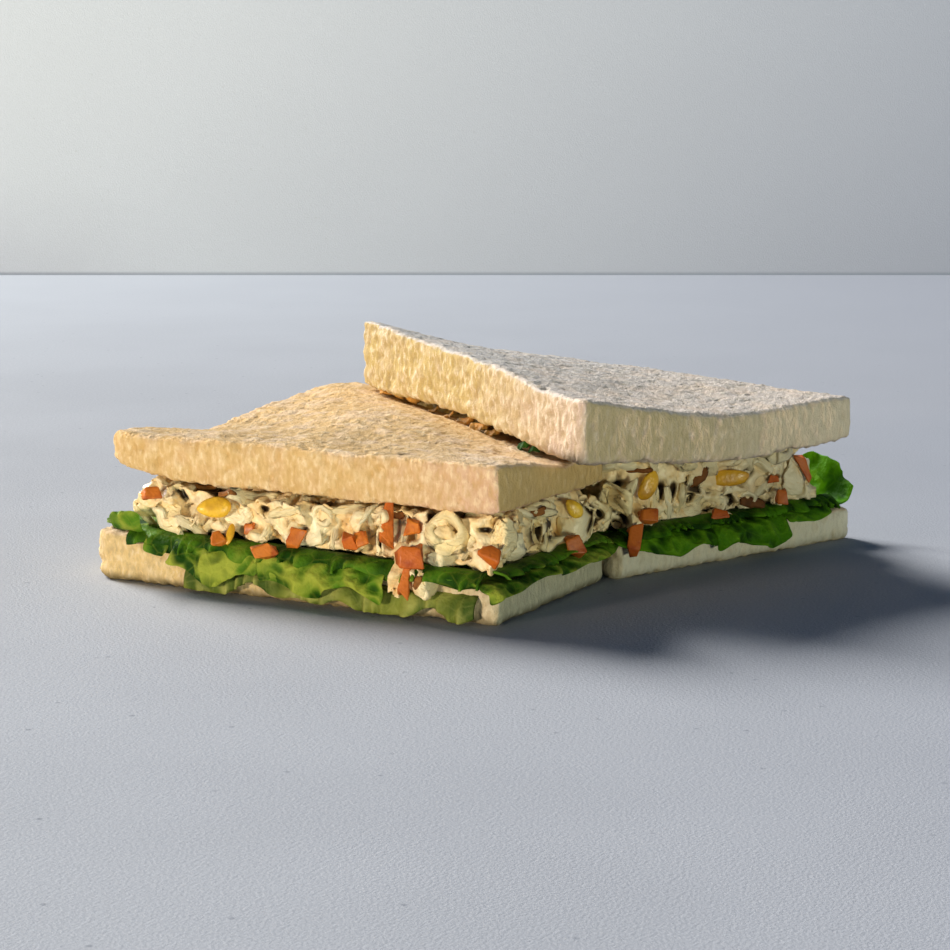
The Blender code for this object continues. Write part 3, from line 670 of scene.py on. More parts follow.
frill("frill_left_side", leaf_left, (-74.0, 58, 12.4), (-74.0, -30, 11.0), 4.0, 2.0, 1.0,
      "lettuce_left_3")
frill("frill_left_skirt", leaf_pale, (-74.3, 43, 6.2), (-74.3, -28, 6.0), 6.0, 0.7, 0.4,
      "lettuce_left_2")
frill("frill_left_near", leaf_left, (-72, -33.2, 11.4), (-24, -33.4, 11.0), 1.8, 1.4, 1.0,
      "lettuce_left_1")
frill("frill_right_near", leaf_right, (-20, -36.5, 11.2), (44, -61.5, 11.0), 2.4, 1.4, 1.0,
      "lettuce_right_1")

# %% [markdown]
# The filling is torn chicken bound with dressing, with small dice of carrot, kernels of corn and
# some browned scraps. A core copied from the solid plays the bound mass in the middle. Creases
# between its lumps are pressed in at the borders of random cells, and the dark pores that the
# photograph shows are pressed in along the line of sight through them. Both are painted near
# black as painted shade.

# %% A search tree
def tree_of(*pieces):
    """A search tree over the faces of some pieces, for lines that end on them."""
    points, faces = [], []
    for piece in pieces:
        start = len(points)
        points += [vertex.co.copy() for vertex in piece.data.vertices]
        faces += [[start + index for index in face.vertices] for face in piece.data.polygons]
    return BVHTree.FromPolygons(points, faces)


# %% [markdown]
# Each pore is an oval given by its pixel, its length and width in pixels, and its turn in
# degrees. On the sandwich a pixel is about a quarter of a millimetre.

# %% Pores seen in the photograph
PORES_SEEN = ((181, 493, 20, 6, -60), (263, 509, 9, 8, 0), (303, 530, 9, 8, 0),
              (303, 549, 8, 7, 0), (349, 548, 10, 10, 0), (406, 515, 14, 10, 0),
              (486, 530, 16, 5, 0), (537, 533, 28, 9, 80), (551, 530, 26, 8, -80),
              (591, 509, 24, 9, -50), (593, 525, 18, 9, 65), (614, 484, 18, 8, 5),
              (612, 497, 18, 8, 80), (620, 514, 26, 9, -60), (613, 527, 15, 11, -20),
              (661, 491, 18, 7, 80), (673, 491, 18, 7, 80), (708, 507, 11, 11, 0),
              (746, 475, 20, 8, 45), (434, 513, 20, 6, 35), (461, 511, 26, 6, -8),
              (218, 487, 44, 5, -4), (447, 549, 8, 26, 80), (700, 490, 22, 8, -10),
              (757, 507, 24, 7, 20), (322, 500, 30, 4, -4), (380, 545, 5, 18, 0),
              (690, 500, 10, 6, 60), (731, 503, 12, 6, 70), (770, 486, 10, 6, 60))
PORE_WINDOW = 24
PORE_RIM = 1.6
PORE_PUSH = 3.2 * MM
NEAR_ENOUGH = 2 * MM


def pore_at(x, y):
    """How deep inside a seen pore a pixel lies."""
    deepest = 0.0
    for centre_x, centre_y, length, width, turn in PORES_SEEN:
        across, upward = x - centre_x, centre_y - y
        if abs(across) > PORE_WINDOW or abs(upward) > PORE_WINDOW:
            continue
        angle = math.radians(turn)
        along = across * math.cos(angle) + upward * math.sin(angle)
        aside = upward * math.cos(angle) - across * math.sin(angle)
        reach = math.hypot(along / length, aside / width) * 2
        deepest = max(deepest, clamp(PORE_RIM - reach))
    return deepest


# %% The core of each filling
MASS_VOXEL = 0.58 * MM
MASS_SMOOTHINGS = 6
MASS_CELL = 8.0 * MM
MASS_SHAKE = 1.6
CREASE_WIDTH = 0.16
CREASE_DEPTH = 1.5 * MM
MASS_LUMP = 3.6 * MM
MASS_FLECK = 1.5 * MM
LUMP_DEPTH = 1.0 * MM
LUMP_SET_BACK = 0.4
FLECK_DEPTH = 0.5 * MM
RIGHT_END, RIGHT_END_BELOW = 816, 478


def pore_depth(place, normal, tree):
    """How deep inside a seen pore a point lies, if the photograph sees the point."""
    if normal.dot(view_back) <= 0:
        return 0.0
    x, y = pixel_of(place)
    pore = pore_at(x, y)
    if pore > 0:
        reach = tree.ray_cast(CAMERA_PLACE, sight(x, y))[3] or 0
        pore *= (place - CAMERA_PLACE).length - reach < NEAR_ENOUGH
    return pore


def press_pores(piece):
    """Press the seen pores into a heap of pieces."""
    tree = tree_of(piece)
    pits = [pore_depth(vertex.co, vertex.normal, tree) for vertex in piece.data.vertices]
    for vertex, pit in zip(piece.data.vertices, pits):
        vertex.co -= view_back * pit * PORE_PUSH
    # The same depths are noted as pit, which the finish paints near black as painted shade.
    note(piece, "pit", pits)


def press_mass(piece):
    """Press creases and seen pores into a core, and draw its right end back to its place."""
    tree = tree_of(piece)
    normals = [vertex.normal.copy() for vertex in piece.data.vertices]
    pits = []
    for vertex, normal in zip(piece.data.vertices, normals):
        place = vertex.co
        shaken = place + noise.noise_vector(place / MASS_LUMP) * MASS_SHAKE * MM
        near, second = noise.voronoi(shaken / MASS_CELL)[0][:2]
        crease = clamp(1 - (second - near) / CREASE_WIDTH)
        lump = noise.noise(place / MASS_LUMP)
        fleck = noise.noise(place / MASS_FLECK)
        pore = pore_depth(place, normal, tree)
        height = (lump - LUMP_SET_BACK) * LUMP_DEPTH + fleck * FLECK_DEPTH
        height -= crease * CREASE_DEPTH
        vertex.co = place + normal * height - view_back * pore * PORE_PUSH
        x, y = pixel_of(vertex.co)
        if y > RIGHT_END_BELOW:
            vertex.co -= view_right * max(x - RIGHT_END, 0) * PIXEL
        # Painted shade: the creases and the seen pores are noted as pit, which the finish paints
        # near black.
        pits.append(clamp(max(crease * 0.35 - lump * 0.3, pore)))
    note(piece, "pit", pits)


# PORE_SHADE is the near black of the painted shade in the pits.
PORE_SHADE = (0.045, 0.024, 0.008)
PIT_SHOWS = (0.22, 0.8)
# Painted shade: the filling turns darker towards the right end, where the slid slice overhangs it.
RIGHT_SHADE_PAINT = (0.45, 0.38, 0.26)
SHADED_END = (0.02, 0.055)
STRIP_GRAIN = (3.0, 13, 1)


def meat_finish(name, pale, body, deep, grain):
    """Chicken: fibres along the grain of a strip, or creases in the bound mass. It is mixed to a
    painted shade towards the right end of the sandwich, and its pits are painted near black as
    painted shade."""
    finish = Finish(name, Roughness=0.42, Specular_IOR_Level=0.5, Coat_Weight=0.15,
                    Coat_Roughness=0.25)
    tone = finish.attribute("tone") if grain else finish.spots(6, 1).between(0.35, 0.65)
    face = finish.mix(body, pale, tone)
    if grain:
        grit = finish.fibres(STRIP_GRAIN)
        face = finish.mix(deep, face, grit.between(0.24, 0.46))
        grit = grit + finish.spots(0.9, 2) * 0.4
    else:
        grit = finish.spots(1.1, 3)
        face = finish.mix(face, deep, (1 - grit).between(0.55, 0.75) * 0.4)
    # Painted shade towards the right end.
    face = finish.mix(face, RIGHT_SHADE_PAINT, finish.across(LEFT_TO_RIGHT, *SHADED_END) * 0.4)
    # Painted shade: the pits are painted near black.
    finish.colour(finish.mix(face, PORE_SHADE, finish.attribute("pit").between(*PIT_SHOWS)))
    finish.relief(grit, 0.4)
    return finish.done()


mass_finish = meat_finish("dressed chicken mass", (0.98, 0.82, 0.50), (0.94, 0.68, 0.32),
                          (0.76, 0.45, 0.12), False)


def filling_mass(name, node):
    piece = fine_skin(node, name, MASS_VOXEL, MASS_SMOOTHINGS)
    press_mass(piece)
    set_down(piece, mass_finish, "filling", node)
    return piece


mass_left = filling_mass("mass_left", "filling_left")
mass_right = filling_mass("mass_right", "filling_right")

# %% [markdown]
# One strip, chunk, curl, die or kernel is modelled once, one unit long, and copied. Each copy is
# scaled and turned, keeps its own mesh, and carries a number called tone that its finish reads,
# so that no two copies are quite the same colour.

# %% Shapes of the filling
STRIP_CUTS = (-0.44, -0.32, -0.12, 0.12, 0.32, 0.44)
STRIP_SIDES = 6
STRIP_SWAY = 0.22
SHIFT = 9.0
CURL_STANDS = 3.2
DIMPLE_DEPTH, DIMPLE_SPREAD = 0.10, 0.05


def cut_across(places):
    for place in places:
        bpy.ops.mesh.select_all(action='SELECT')
        bpy.ops.mesh.bisect(plane_co=(place, 0, 0), plane_no=(1, 0, 0))


def wander(piece, size, depth, shift):
    """Push the points of a shape about, so that it is uneven; shift gives each its own form."""
    for vertex in piece.data.vertices:
        vertex.co += noise.noise_vector(vertex.co / size + Vector((shift, 0, 0))) * depth


def torn_strip(number):
    """A strip of chicken torn along its grain: round and plump, with ragged ends."""
    piece = add(f"strip_{number}", bpy.ops.mesh.primitive_cylinder_add, vertices=STRIP_SIDES,
                radius=0.5, depth=1)
    piece.data.transform(Matrix.Rotation(math.pi / 2, 4, 'Y'))
    edit(piece, lambda: cut_across(STRIP_CUTS))
    for vertex in piece.data.vertices:
        x = vertex.co.x
        narrow = 0.25 + 0.75 * math.sqrt(max(1 - (2 * x) ** 4, 0))
        sway = STRIP_SWAY * noise.noise(Vector((x * 2.2, number * 5.0, 0)))
        vertex.co.y = vertex.co.y * narrow + sway
        vertex.co.z *= narrow
    wander(piece, 0.3, 0.16, number * SHIFT)
    return piece


def chunk(number, fineness=3):
    """A lump of white meat, rounded and torn."""
    piece = add(f"chunk_{number}", bpy.ops.mesh.primitive_ico_sphere_add, subdivisions=fineness,
                radius=0.5)
    for vertex in piece.data.vertices:
        vertex.co = Vector(math.copysign(abs(part * 2) ** 0.75 / 2, part) for part in vertex.co)
    wander(piece, 0.50, 0.24, 40 + number * SHIFT)
    wander(piece, 0.15, 0.08, 80 + number * SHIFT)
    return piece


def curl(number):
    """A strip curled round on itself: a flattened uneven ring."""
    piece = add(f"curl_{number}", bpy.ops.mesh.primitive_torus_add, major_segments=22,
                minor_segments=8, major_radius=0.36, minor_radius=0.14)
    for vertex in piece.data.vertices:
        vertex.co.z *= CURL_STANDS
    wander(piece, 0.45, 0.16, 200 + number * SHIFT)
    return piece


def die(number):
    """A die of carrot with soft cut edges."""
    piece = add(f"die_{number}", bpy.ops.mesh.primitive_cube_add, size=1)
    edit(piece, lambda: bpy.ops.mesh.bevel(offset=0.16, segments=3, affect='EDGES'))
    wander(piece, 0.8, 0.42, 120 + number * SHIFT)
    return piece


def kernel(number):
    """A kernel of sweet corn: a fat wedge with a dimple."""
    piece = add(f"kernel_{number}", bpy.ops.mesh.primitive_ico_sphere_add, subdivisions=3,
                radius=0.5)
    for vertex in piece.data.vertices:
        x, y, z = vertex.co
        vertex.co.y = y * (1.0 + 0.5 * x)
        if z > 0:
            vertex.co.z = z - DIMPLE_DEPTH * math.exp(-(x * x + y * y) / DIMPLE_SPREAD)
    wander(piece, 0.8, 0.14, 160 + number * SHIFT)
    return piece


def give_grain(piece):
    """A UV map whose first axis runs along the shape, and an empty tone."""
    mesh = piece.data
    layer = mesh.uv_layers[0] if mesh.uv_layers else mesh.uv_layers.new(name="UVMap")
    for loop, spot in zip(mesh.loops, layer.data):
        place = mesh.vertices[loop.vertex_index].co
        spot.uv = (place.x, place.y + place.z)
    mesh.attributes.new("tone", 'FLOAT', 'POINT')
    return piece


shapes = {"strip": [give_grain(torn_strip(number)) for number in range(8)],
          "chunk": [give_grain(chunk(number)) for number in range(4)],
          "lump": [give_grain(chunk(number, 4)) for number in range(4, 8)],
          "curl": [give_grain(curl(number)) for number in range(3)],
          "die": [give_grain(die(number)) for number in range(5)],
          "kernel": [give_grain(kernel(number)) for number in range(3)]}
print("shapes:", {kind: len(several) for kind, several in shapes.items()})

# %% [markdown]
# Where a copy goes is found with a line of sight: the photograph's own pixel for what can be
# told apart there, and a line straight in from the side for what the photograph hides. A soft
# copy is draped: short lines down to the mass at several stations along it tell how far it has
# to bend there, so that it follows the lumps and no end stands in the air. Dice and kernels are
# stiff, so that they stay straight and rest near the highest of their stations.

# %% Laying a copy on the filling
STATIONS = (-0.5, -0.25, 0.0, 0.25, 0.5)
STIFF = ("die", "kernel")
STIFF_RISE = 0.8
FEELER = 5 * MM
MOST_BEND = 2.5 * MM
mass_tree = tree_of(mass_left, mass_right)
heaps = {}


def bends(tree, place, outward, along, length):
    """How far the surface rises over a copy's own plane, at each station."""
    rises = []
    for station in STATIONS:
        start = place + along * station * length + outward * FEELER
        hit = tree.ray_cast(start, -outward, FEELER * 2)[3]
        rise = -MOST_BEND if hit is None else FEELER - hit
        rises.append(min(max(rise, -MOST_BEND), MOST_BEND))
    return rises


def bend_at(rises, x):
    spot = min(max((x + 0.5) * (len(rises) - 1), 0), len(rises) - 1.001)
    left = int(spot)
    return rises[left] + (rises[left + 1] - rises[left]) * (spot - left)


def lay(group, shape, place, outward, along, size, sink, tone, tree=None):
    """Note a copy: its shape, where it lies, its length, width and depth, and its bends."""
    along = (along - outward * along.dot(outward)).normalized()
    rises = bends(tree or mass_tree, place, outward, along, size[0])
    if shape.name.startswith(STIFF):
        rises = [max(rises) * STIFF_RISE] * len(rises)
    centre = place + outward * (size[2] / 2 - sink)
    side = outward.cross(along)
    heaps.setdefault(group, []).append((shape, centre, along, side, outward, size, rises, tone))


def gather(name, copies):
    """Join copies of the shapes into one mesh."""
    pieces = []
    for shape, centre, along, side, outward, size, rises, tone in copies:
        mesh = shape.data.copy()
        for vertex in mesh.vertices:
            x, y, z = vertex.co
            lift = z * size[2] + bend_at(rises, x)
            vertex.co = centre + along * x * size[0] + side * y * size[1] + outward * lift
        mesh.attributes["tone"].data.foreach_set("value", [tone] * len(mesh.vertices))
        pieces.append(bpy.data.objects.new(name, mesh))
        bpy.context.scene.collection.objects.link(pieces[-1])
    take(pieces[0])
    for piece in pieces:
        piece.select_set(True)
    if len(pieces) > 1:
        bpy.ops.object.join()
    print(name, len(pieces), "copies")
    return pieces[0]


# %% [markdown]
# These are the pieces that the photograph shows, in the same form as the pores. The chicken is
# laid first, and what can be told apart on it is kept for later.

# %% Pieces seen in the photograph
CARROT_SEEN = ((152, 496, 17, 12, 10), (218, 541, 13, 14, 30), (264, 553, 20, 12, 10),
               (295, 538, 20, 13, 65), (351, 541, 12, 14, 0), (366, 543, 13, 15, 20),
               (388, 526, 40, 12, 87), (414, 526, 14, 14, 0), (411, 557, 26, 20, 0),
               (406, 583, 27, 10, 82), (489, 556, 21, 15, -20), (573, 548, 16, 17, 5),
               (634, 541, 29, 12, 82), (646, 518, 16, 15, 0), (719, 516, 15, 10, 0),
               (774, 478, 9, 8, 0), (781, 497, 11, 13, 0), (803, 467, 25, 8, -62),
               (250, 529, 11, 10, 0))
CORN_SEEN = ((216, 508, 34, 20, 0), (574, 509, 22, 14, -50), (644, 484, 30, 18, 62),
             (728, 477, 38, 17, 3), (231, 538, 22, 8, 80))
CHUNK_SEEN = ((308, 530, 60, 44, 10), (573, 528, 36, 50, 0), (797, 475, 36, 36, 0),
              (425, 585, 24, 22, 0), (521, 563, 10, 10, 0), (447, 556, 36, 20, 0),
              (170, 513, 30, 22, -20), (540, 500, 30, 20, 20), (503, 535, 22, 36, 0),
              (700, 500, 34, 22, 0), (600, 545, 44, 26, 10), (240, 515, 26, 22, 0),
              (682, 505, 40, 26, 0), (620, 500, 26, 30, 0))
CURL_SEEN = ((446, 530, 48, 42, -30), (180, 494, 28, 20, -30), (748, 500, 30, 20, 0),
             (592, 514, 30, 34, 0), (544, 534, 20, 36, 0), (322, 516, 26, 22, 0))
STRIP_SEEN = ((350, 509, 44, 11, 3), (336, 530, 42, 10, 80), (371, 524, 30, 8, 86),
              (403, 536, 46, 11, 88), (270, 528, 50, 11, 50), (655, 502, 32, 9, 82),
              (668, 503, 34, 9, 95), (681, 500, 34, 9, 84), (693, 506, 28, 9, 70),
              (716, 502, 30, 10, 10), (190, 524, 34, 11, -30), (207, 528, 30, 10, 40),
              (285, 512, 34, 11, 20), (330, 550, 44, 10, 0), (480, 515, 40, 12, 5),
              (625, 500, 40, 12, 60), (760, 490, 32, 10, 20), (470, 545, 30, 10, 60))
BROWNED_SEEN = ((700, 477, 27, 12, 40), (752, 502, 18, 12, 0), (418, 583, 14, 9, 60),
                (206, 488, 20, 7, 0), (228, 492, 16, 6, -10), (538, 512, 20, 9, 20),
                (398, 515, 12, 9, 0), (640, 470, 26, 6, 5))
CREASE_SEEN = ((387, 396, 16, 7, -12), (400, 400, 18, 8, -16), (414, 405, 14, 7, -20),
               (434, 413, 12, 4, -22), (449, 418, 10, 4, -22), (465, 424, 16, 8, -22),
               (478, 430, 18, 10, -24), (491, 435, 16, 8, -24))
CREASE_LEAF_SEEN = ((525, 449, 14, 8, -22), (535, 454, 12, 6, -10))
FACES_OUT = 0.6
THINNEST = 1.2 * MM


def seen(group, kind, pieces, depth, sink, rng, tree=None):
    """Lay the pieces of one sort at their pixels. The depth of each is a share of its width, and
    it is sunk into what carries it by a share of its depth."""
    missed = 0
    for x, y, length, width, turn in pieces:
        place, normal, _, reach = (tree or mass_tree).ray_cast(CAMERA_PLACE, sight(x, y))
        if place is None:
            missed += 1
            continue
        pixel = reach / FOCAL_PIXELS
        outward = (normal * FACES_OUT + view_back).normalized()
        angle = math.radians(turn)
        along = view_right * math.cos(angle) + view_up * math.sin(angle)
        size = (length * pixel, width * pixel, max(width * depth * pixel, THINNEST))
        lay(group, rng.choice(shapes[kind]), place, outward, along, size, size[2] * sink,
            rng.random(), tree)
    print(group, "seen:", len(pieces) - missed, "missed:", missed)


rng = random.Random(SEED)
lot_rng = random.Random(SEED + 1)
seen("chicken", "lump", CHUNK_SEEN, 0.5, 0.62, rng)
seen("chicken", "curl", CURL_SEEN, 0.28, 0.55, rng)
seen("chicken", "strip", STRIP_SEEN, 0.7, 0.45, rng)
marks = [copy[1] for copies in heaps.values() for copy in copies]

# %% [markdown]
# The other pieces are drawn by lot with a fixed seed. Lines run straight in from each side of
# each half, at an even spacing that is shaken a little, and most of them end in a strip. For
# each sort there are the kind of its shape, how often it is drawn, and how long and wide it is
# in mm. Nothing is drawn before what the photograph shows.

# %% Pieces drawn by lot
SIDES = (("filling_left", (-1, 0), 0.75), ("filling_left", (0, -1), 0.75),
         ("filling_left", (0.02, 1), 1.0), ("filling_left", (0.9, -0.44), 0.7),
         ("filling_right", (-0.38, -0.92), 0.75), ("filling_right", (0.97, -0.23), 1.0),
         ("filling_right", (0.38, 0.92), 1.0), ("filling_right", (0, 0, 1), 1.0))
LOTS = {"chicken": ("strip", 64, (7, 13), (2.2, 3.8)),
        "white chicken": ("chunk", 13, (5, 9), (4, 6)),
        "curled chicken": ("curl", 6, (6, 9), (5, 7)),
        "carrot": ("die", 9, (3.2, 5.2), (2.8, 4.2)),
        "corn": ("kernel", 5, (6, 8), (4.5, 5.5)),
        "browned scraps": ("strip", 3, (4, 7), (2, 3))}
DEPTHS = {"strip": 0.6, "chunk": 0.7, "curl": 0.3, "die": 0.8, "kernel": 0.7}
KEPT_CLEAR = ((788, 440, 870, 530), (376, 560, 446, 610), (462, 550, 520, 600),
              (100, 455, 165, 490))
PIXELS_CLEAR = 14
MARK_CLEAR = 3 * MM
LOT_SPACING = 4.4 * MM
LOT_SHAKE = 0.4
LOT_SINK = 0.5
LOT_TURN = 0.7
STEEP = 0.25


def level_run(normal):
    """A level direction along a surface."""
    run = Vector((0, 0, 1)).cross(normal)
    return run.normalized() if run.length > 0.1 else Vector((1, 0, 0))


def in_view(place):
    """Whether the photograph sees a point of the mass."""
    line = place - CAMERA_PLACE
    reach = mass_tree.ray_cast(CAMERA_PLACE, line.normalized())[3] or 0
    return line.length - reach < 2 * NEAR_ENOUGH


def draw_piece(place, normal, rng):
    """Draw a sort, a size and a turn by lot, and lay the piece; in view only chicken is drawn."""
    names = [name for name in LOTS if "chicken" in name or not in_view(place)]
    name = rng.choices(names, [LOTS[name][1] for name in names])[0]
    kind, _, lengths, widths = LOTS[name]
    length, width, turn = rng.uniform(*lengths), rng.uniform(*widths), rng.gauss(0, LOT_TURN)
    run = level_run(normal)
    along = run * math.cos(turn) + normal.cross(run) * math.sin(turn)
    size = (length * MM, width * MM, width * DEPTHS[kind] * MM)
    lay("chicken" if "chicken" in name else name, rng.choice(shapes[kind]), place, normal, along,
        size, size[2] * LOT_SINK, rng.random())


def in_the_way(place):
    """Whether a point stands in a window that is kept clear, or by a seen pore, die or kernel."""
    x, y = pixel_of(place)
    if any(left < x < right and top < y < bottom for left, top, right, bottom in KEPT_CLEAR):
        return True
    return any(math.hypot(x - seen_x, y - seen_y) < PIXELS_CLEAR + length / 4
               for seen_x, seen_y, length, _, _ in PORES_SEEN + CARROT_SEEN + CORN_SEEN)


def draw_lots(node, direction, share, rng, marks):
    """Rain lines onto one side of a filling and lay a piece where each one lands."""
    low, high = (Vector(corner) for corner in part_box(node))
    inward = -Vector((*direction, 0)[:3]).normalized()
    across = inward.orthogonal().normalized() if abs(inward.z) > 0.9 else inward.cross((0, 0, 1))
    upward = across.cross(inward).normalized()
    reach = (high - low).length / 2
    steps = int(reach / LOT_SPACING)
    laid = 0
    for row in range(-steps, steps + 1):
        for column in range(-steps, steps + 1):
            aside = row + rng.uniform(-LOT_SHAKE, LOT_SHAKE)
            above = column + rng.uniform(-LOT_SHAKE, LOT_SHAKE)
            start = (low + high) / 2 - inward * reach * 2
            start += (across * aside + upward * above) * LOT_SPACING
            place, normal, _, _ = mass_tree.ray_cast(start, inward)
            kept = rng.random() < share
            if place is None or not kept or not low.z < place.z < high.z or in_the_way(place):
                continue
            crowded = any((place - mark).length < MARK_CLEAR for mark in marks)
            if normal.dot(inward) > -STEEP or crowded:
                continue
            draw_piece(place, normal, rng)
            laid += 1
    return laid


for node, direction, share in SIDES:
    print(node, direction, draw_lots(node, direction, share, lot_rng, marks), "laid")

# %% [markdown]
# All the chicken is joined, and the seen pores are pressed into it. Carrot, corn and browned
# scraps come last and lie on top, because each of them can be told apart in the photograph.

# %% The chicken
torn_chicken = meat_finish("torn chicken", (0.99, 0.87, 0.56), (0.98, 0.79, 0.41),
                           (0.84, 0.55, 0.18), True)
chicken = gather("chicken", heaps.pop("chicken"))
press_pores(chicken)
set_down(chicken, torn_chicken, "filling", "filling_left", "filling_right")

# %% What lies on the chicken
leaves = [piece for piece in bpy.data.objects if piece.name.startswith(("leaf", "frill"))]
dressed = tree_of(mass_left, mass_right, chicken, *leaves)
seen("carrot", "die", CARROT_SEEN, 0.7, 0.25, rng, dressed)
seen("corn", "kernel", CORN_SEEN, 0.6, 0.15, rng, dressed)
seen("browned scraps", "strip", BROWNED_SEEN, 0.5, 0.5, rng, dressed)
slices = tree_of(lid, slab)
seen("crease scraps", "chunk", CREASE_SEEN, 0.7, 0.15, rng, slices)
seen("lettuce scrap", "chunk", CREASE_LEAF_SEEN, 0.8, 0.1, rng, slices)


# %% [markdown]
# Carrot and corn are moist, so they have a thin clear coat, and scraps are dry. Each copy has
# its own tone between a pale and a deep paint, and darker spots of a size in mm lie over it.

# %% Finishes of the small pieces
SMALL_PAINTS = {
    "carrot": ("carrot", (0.72, 0.22, 0.025), (0.58, 0.13, 0.012), (0.34, 0.05, 0.008), 3, 0.12),
    "corn": ("sweet corn", (0.98, 0.60, 0.04), (0.88, 0.48, 0.025), (0.50, 0.22, 0.01), 4, 0.25),
    "browned scraps": ("browned chicken", (0.42, 0.17, 0.04), (0.20, 0.07, 0.02),
                       (0.07, 0.03, 0.012), 2, 0.0),
    "crease scraps": ("dried scraps", (0.60, 0.29, 0.06), (0.38, 0.19, 0.04),
                      (0.10, 0.07, 0.02), 2, 0.0),
    "lettuce scrap": ("lettuce scrap", (0.03, 0.10, 0.01), (0.02, 0.07, 0.01),
                      (0.01, 0.03, 0.005), 2, 0.0)}


def dice_finish(name, pale, deep, dark, size, moist):
    """Tones between pale and deep, with dark spots; moist is how much clear coat lies on top."""
    finish = Finish(name, Roughness=0.65 - moist, Specular_IOR_Level=0.1 + moist * 1.6,
                    Coat_Weight=moist, Coat_Roughness=0.25)
    body = finish.mix(deep, pale, finish.attribute("tone"))
    # Painted shade: towards the right end, where the slid slice overhangs, the pieces mix to their
    # dark paint.
    body = finish.mix(body, dark, finish.across(LEFT_TO_RIGHT, *SHADED_END) * 0.55)
    spots = finish.spots(size, 2).between(0.45, 0.72)
    finish.colour(finish.mix(body, dark, spots * 0.75))
    finish.relief(finish.spots(0.9, 2), 0.25)
    return finish.done()


small_finishes = {group: dice_finish(*paints) for group, paints in SMALL_PAINTS.items()}

# %% The heaps
for group, copies in heaps.items():
    heap = gather(group.replace(" ", "_"), copies)
    set_down(heap, small_finishes[group], "lettuce" if "lettuce" in group else "filling",
             "filling_left", "filling_right")
for several in shapes.values():
    for shape in several:
        bpy.data.objects.remove(shape, do_unlink=True)

# %% [markdown]
# The stage is plain: a pale floor and a pale wall behind it, both mottled, with a few small
# pits. They are painted darker to the right and paler to the back, as painted light falloff, as
# in the photograph. A painted line of shadow marks the foot of the wall.

# %% Floor and wall
FLOOR_REACH = 3.0
WALL_DISTANCE = 0.677
WALL_HEIGHT = 0.40
FADE = 0.45
BACK_START = 0.05
# FLOOR_FADE, WALL_FADE and BACK_PAINT are painted light falloff.
FLOOR_PAINT, FLOOR_FADE = (0.65, 0.655, 0.66), (0.54, 0.56, 0.63)
WALL_PAINT, WALL_FADE = (0.425, 0.468, 0.565), (0.68, 0.69, 0.73)
BACK_PAINT = (0.80, 0.84, 0.88)
FOOT_PAINT = (0.20, 0.24, 0.30)
STAGE_PIT = (0.16, 0.17, 0.19)
PIT_CELL, PIT_EDGE = 9, (0.03, 0.08)
STAGE_GRAIN, GRIT_SHOWS = (0.3, 0.7), (0.30, 0.42)
NO_FOOT = (1, 2)
WALL_FOOT = (-2.2 * MM, -0.6 * MM)


def stage_finish(name, colour, fade, rough, foot=NO_FOOT):
    """A pale mottled surface, painted paler to the back and darker to the right as painted light
    falloff; foot is where the painted line of shadow at the foot of the wall lies.
    """
    finish = Finish(name, Roughness=0.9, Specular_IOR_Level=0.2)
    grain = finish.spots(0.9, 3).between(*STAGE_GRAIN)
    cloud = finish.spots(70, 2).between(*STAGE_GRAIN)
    deep = tuple(channel * 0.80 for channel in colour)
    far = tuple(channel * share for channel, share in zip(colour, fade))
    face = finish.mix(deep, colour, grain * 0.6 + cloud * 0.4)
    face = finish.mix(deep, face, finish.spots(0.45, 2).between(*GRIT_SHOWS))
    face = finish.mix(STAGE_PIT, face, finish.cells(PIT_CELL).between(*PIT_EDGE) * 0.6 + 0.4)
    # Painted light falloff: paler towards the back and darker towards the right.
    face = finish.mix(face, BACK_PAINT, finish.across(away, BACK_START, WALL_DISTANCE) * 0.6)
    face = finish.mix(face, far, finish.across(view_right, -FADE, FADE))
    finish.colour(finish.mix(face, FOOT_PAINT, finish.across((0, 0, -1), *foot) * 0.6))
    finish.relief(finish.spots(0.6, 3), rough)
    return finish.done()


away = Vector((-view_back.x, -view_back.y, 0)).normalized()
floor = add("floor", bpy.ops.mesh.primitive_plane_add, size=FLOOR_REACH * 2)
floor.data.materials.append(stage_finish("pale floor", FLOOR_PAINT, FLOOR_FADE, 0.12))

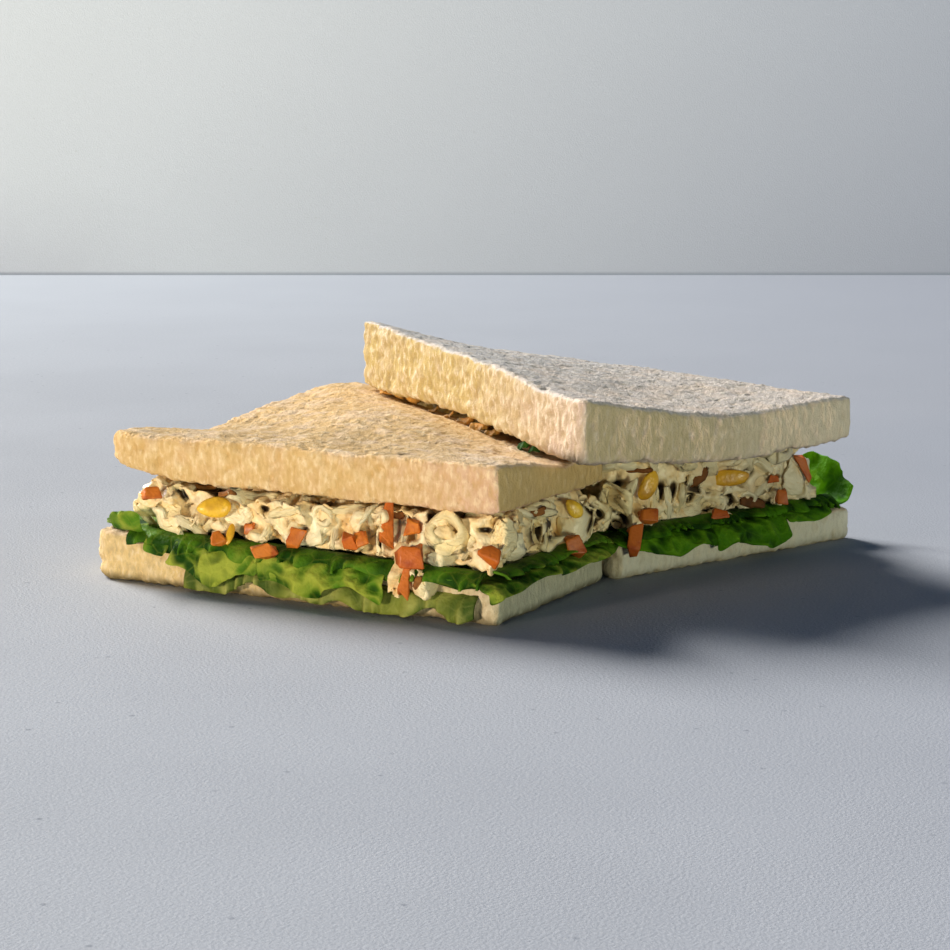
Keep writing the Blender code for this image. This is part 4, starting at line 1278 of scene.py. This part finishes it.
wall = add("wall", bpy.ops.mesh.primitive_plane_add, size=1)
wall.visible_shadow = False
wall.visible_diffuse = False
stand = Matrix((view_right * FLOOR_REACH * 2, Vector((0, 0, WALL_HEIGHT)), -away)).transposed()
wall.data.transform(Matrix.Translation(away * WALL_DISTANCE + Vector((0, 0, WALL_HEIGHT / 2)))
                    @ stand.to_4x4())
wall.data.materials.append(stage_finish("pale wall", WALL_PAINT, WALL_FADE, 0.2, WALL_FOOT))
print("the wall stands", round(WALL_DISTANCE, 2), "m behind")

# %% [markdown]
# A low warm light from the left falls on the cut faces. A paler one from behind falls on the
# tops and throws the shadow to the front. A weak one from the front keeps the near faces
# readable, and the room's own light is cool, which makes the shadow blue. For each light there
# are the side that it comes from, its height in degrees, its strength, its colour and how soft
# its shadow is, in degrees.

# %% Lights
LIGHTS = {"side light": ((-0.93, 0.36), 2, 3.0, (1.0, 0.85, 0.67), 8),
          "back light": ((0.30, 0.95), 29, 5.75, (0.98, 0.98, 0.97), 24),
          "front light": ((-0.62, -0.78), 0.5, 1.78, (0.95, 1.0, 0.80), 10)}
LIGHT_DISTANCE = 2
ROOM_COLOUR = (0.16, 0.46, 1.0)
ROOM_STRENGTH = 0.10


def sun(name, towards, height, strength, colour, softness):
    """A far light from a side."""
    height = math.radians(height)
    origin = Vector((*towards, 0)).normalized() * math.cos(height)
    origin.z = math.sin(height)
    light = add(name, bpy.ops.object.light_add, type='SUN', location=origin * LIGHT_DISTANCE,
                rotation=origin.to_track_quat('Z', 'Y').to_euler())
    light.data.energy = strength
    light.data.color = colour
    light.data.angle = math.radians(softness)


for name, values in LIGHTS.items():
    sun(name, *values)
room = bpy.data.worlds.new("room light")
room.use_nodes = True
background = room.node_tree.nodes["Background"]
background.inputs["Color"].default_value = (*ROOM_COLOUR, 1.0)
background.inputs["Strength"].default_value = ROOM_STRENGTH
bpy.context.scene.world = room
bpy.context.scene.view_settings.view_transform = 'Standard'
print("lights:", ", ".join(LIGHTS))
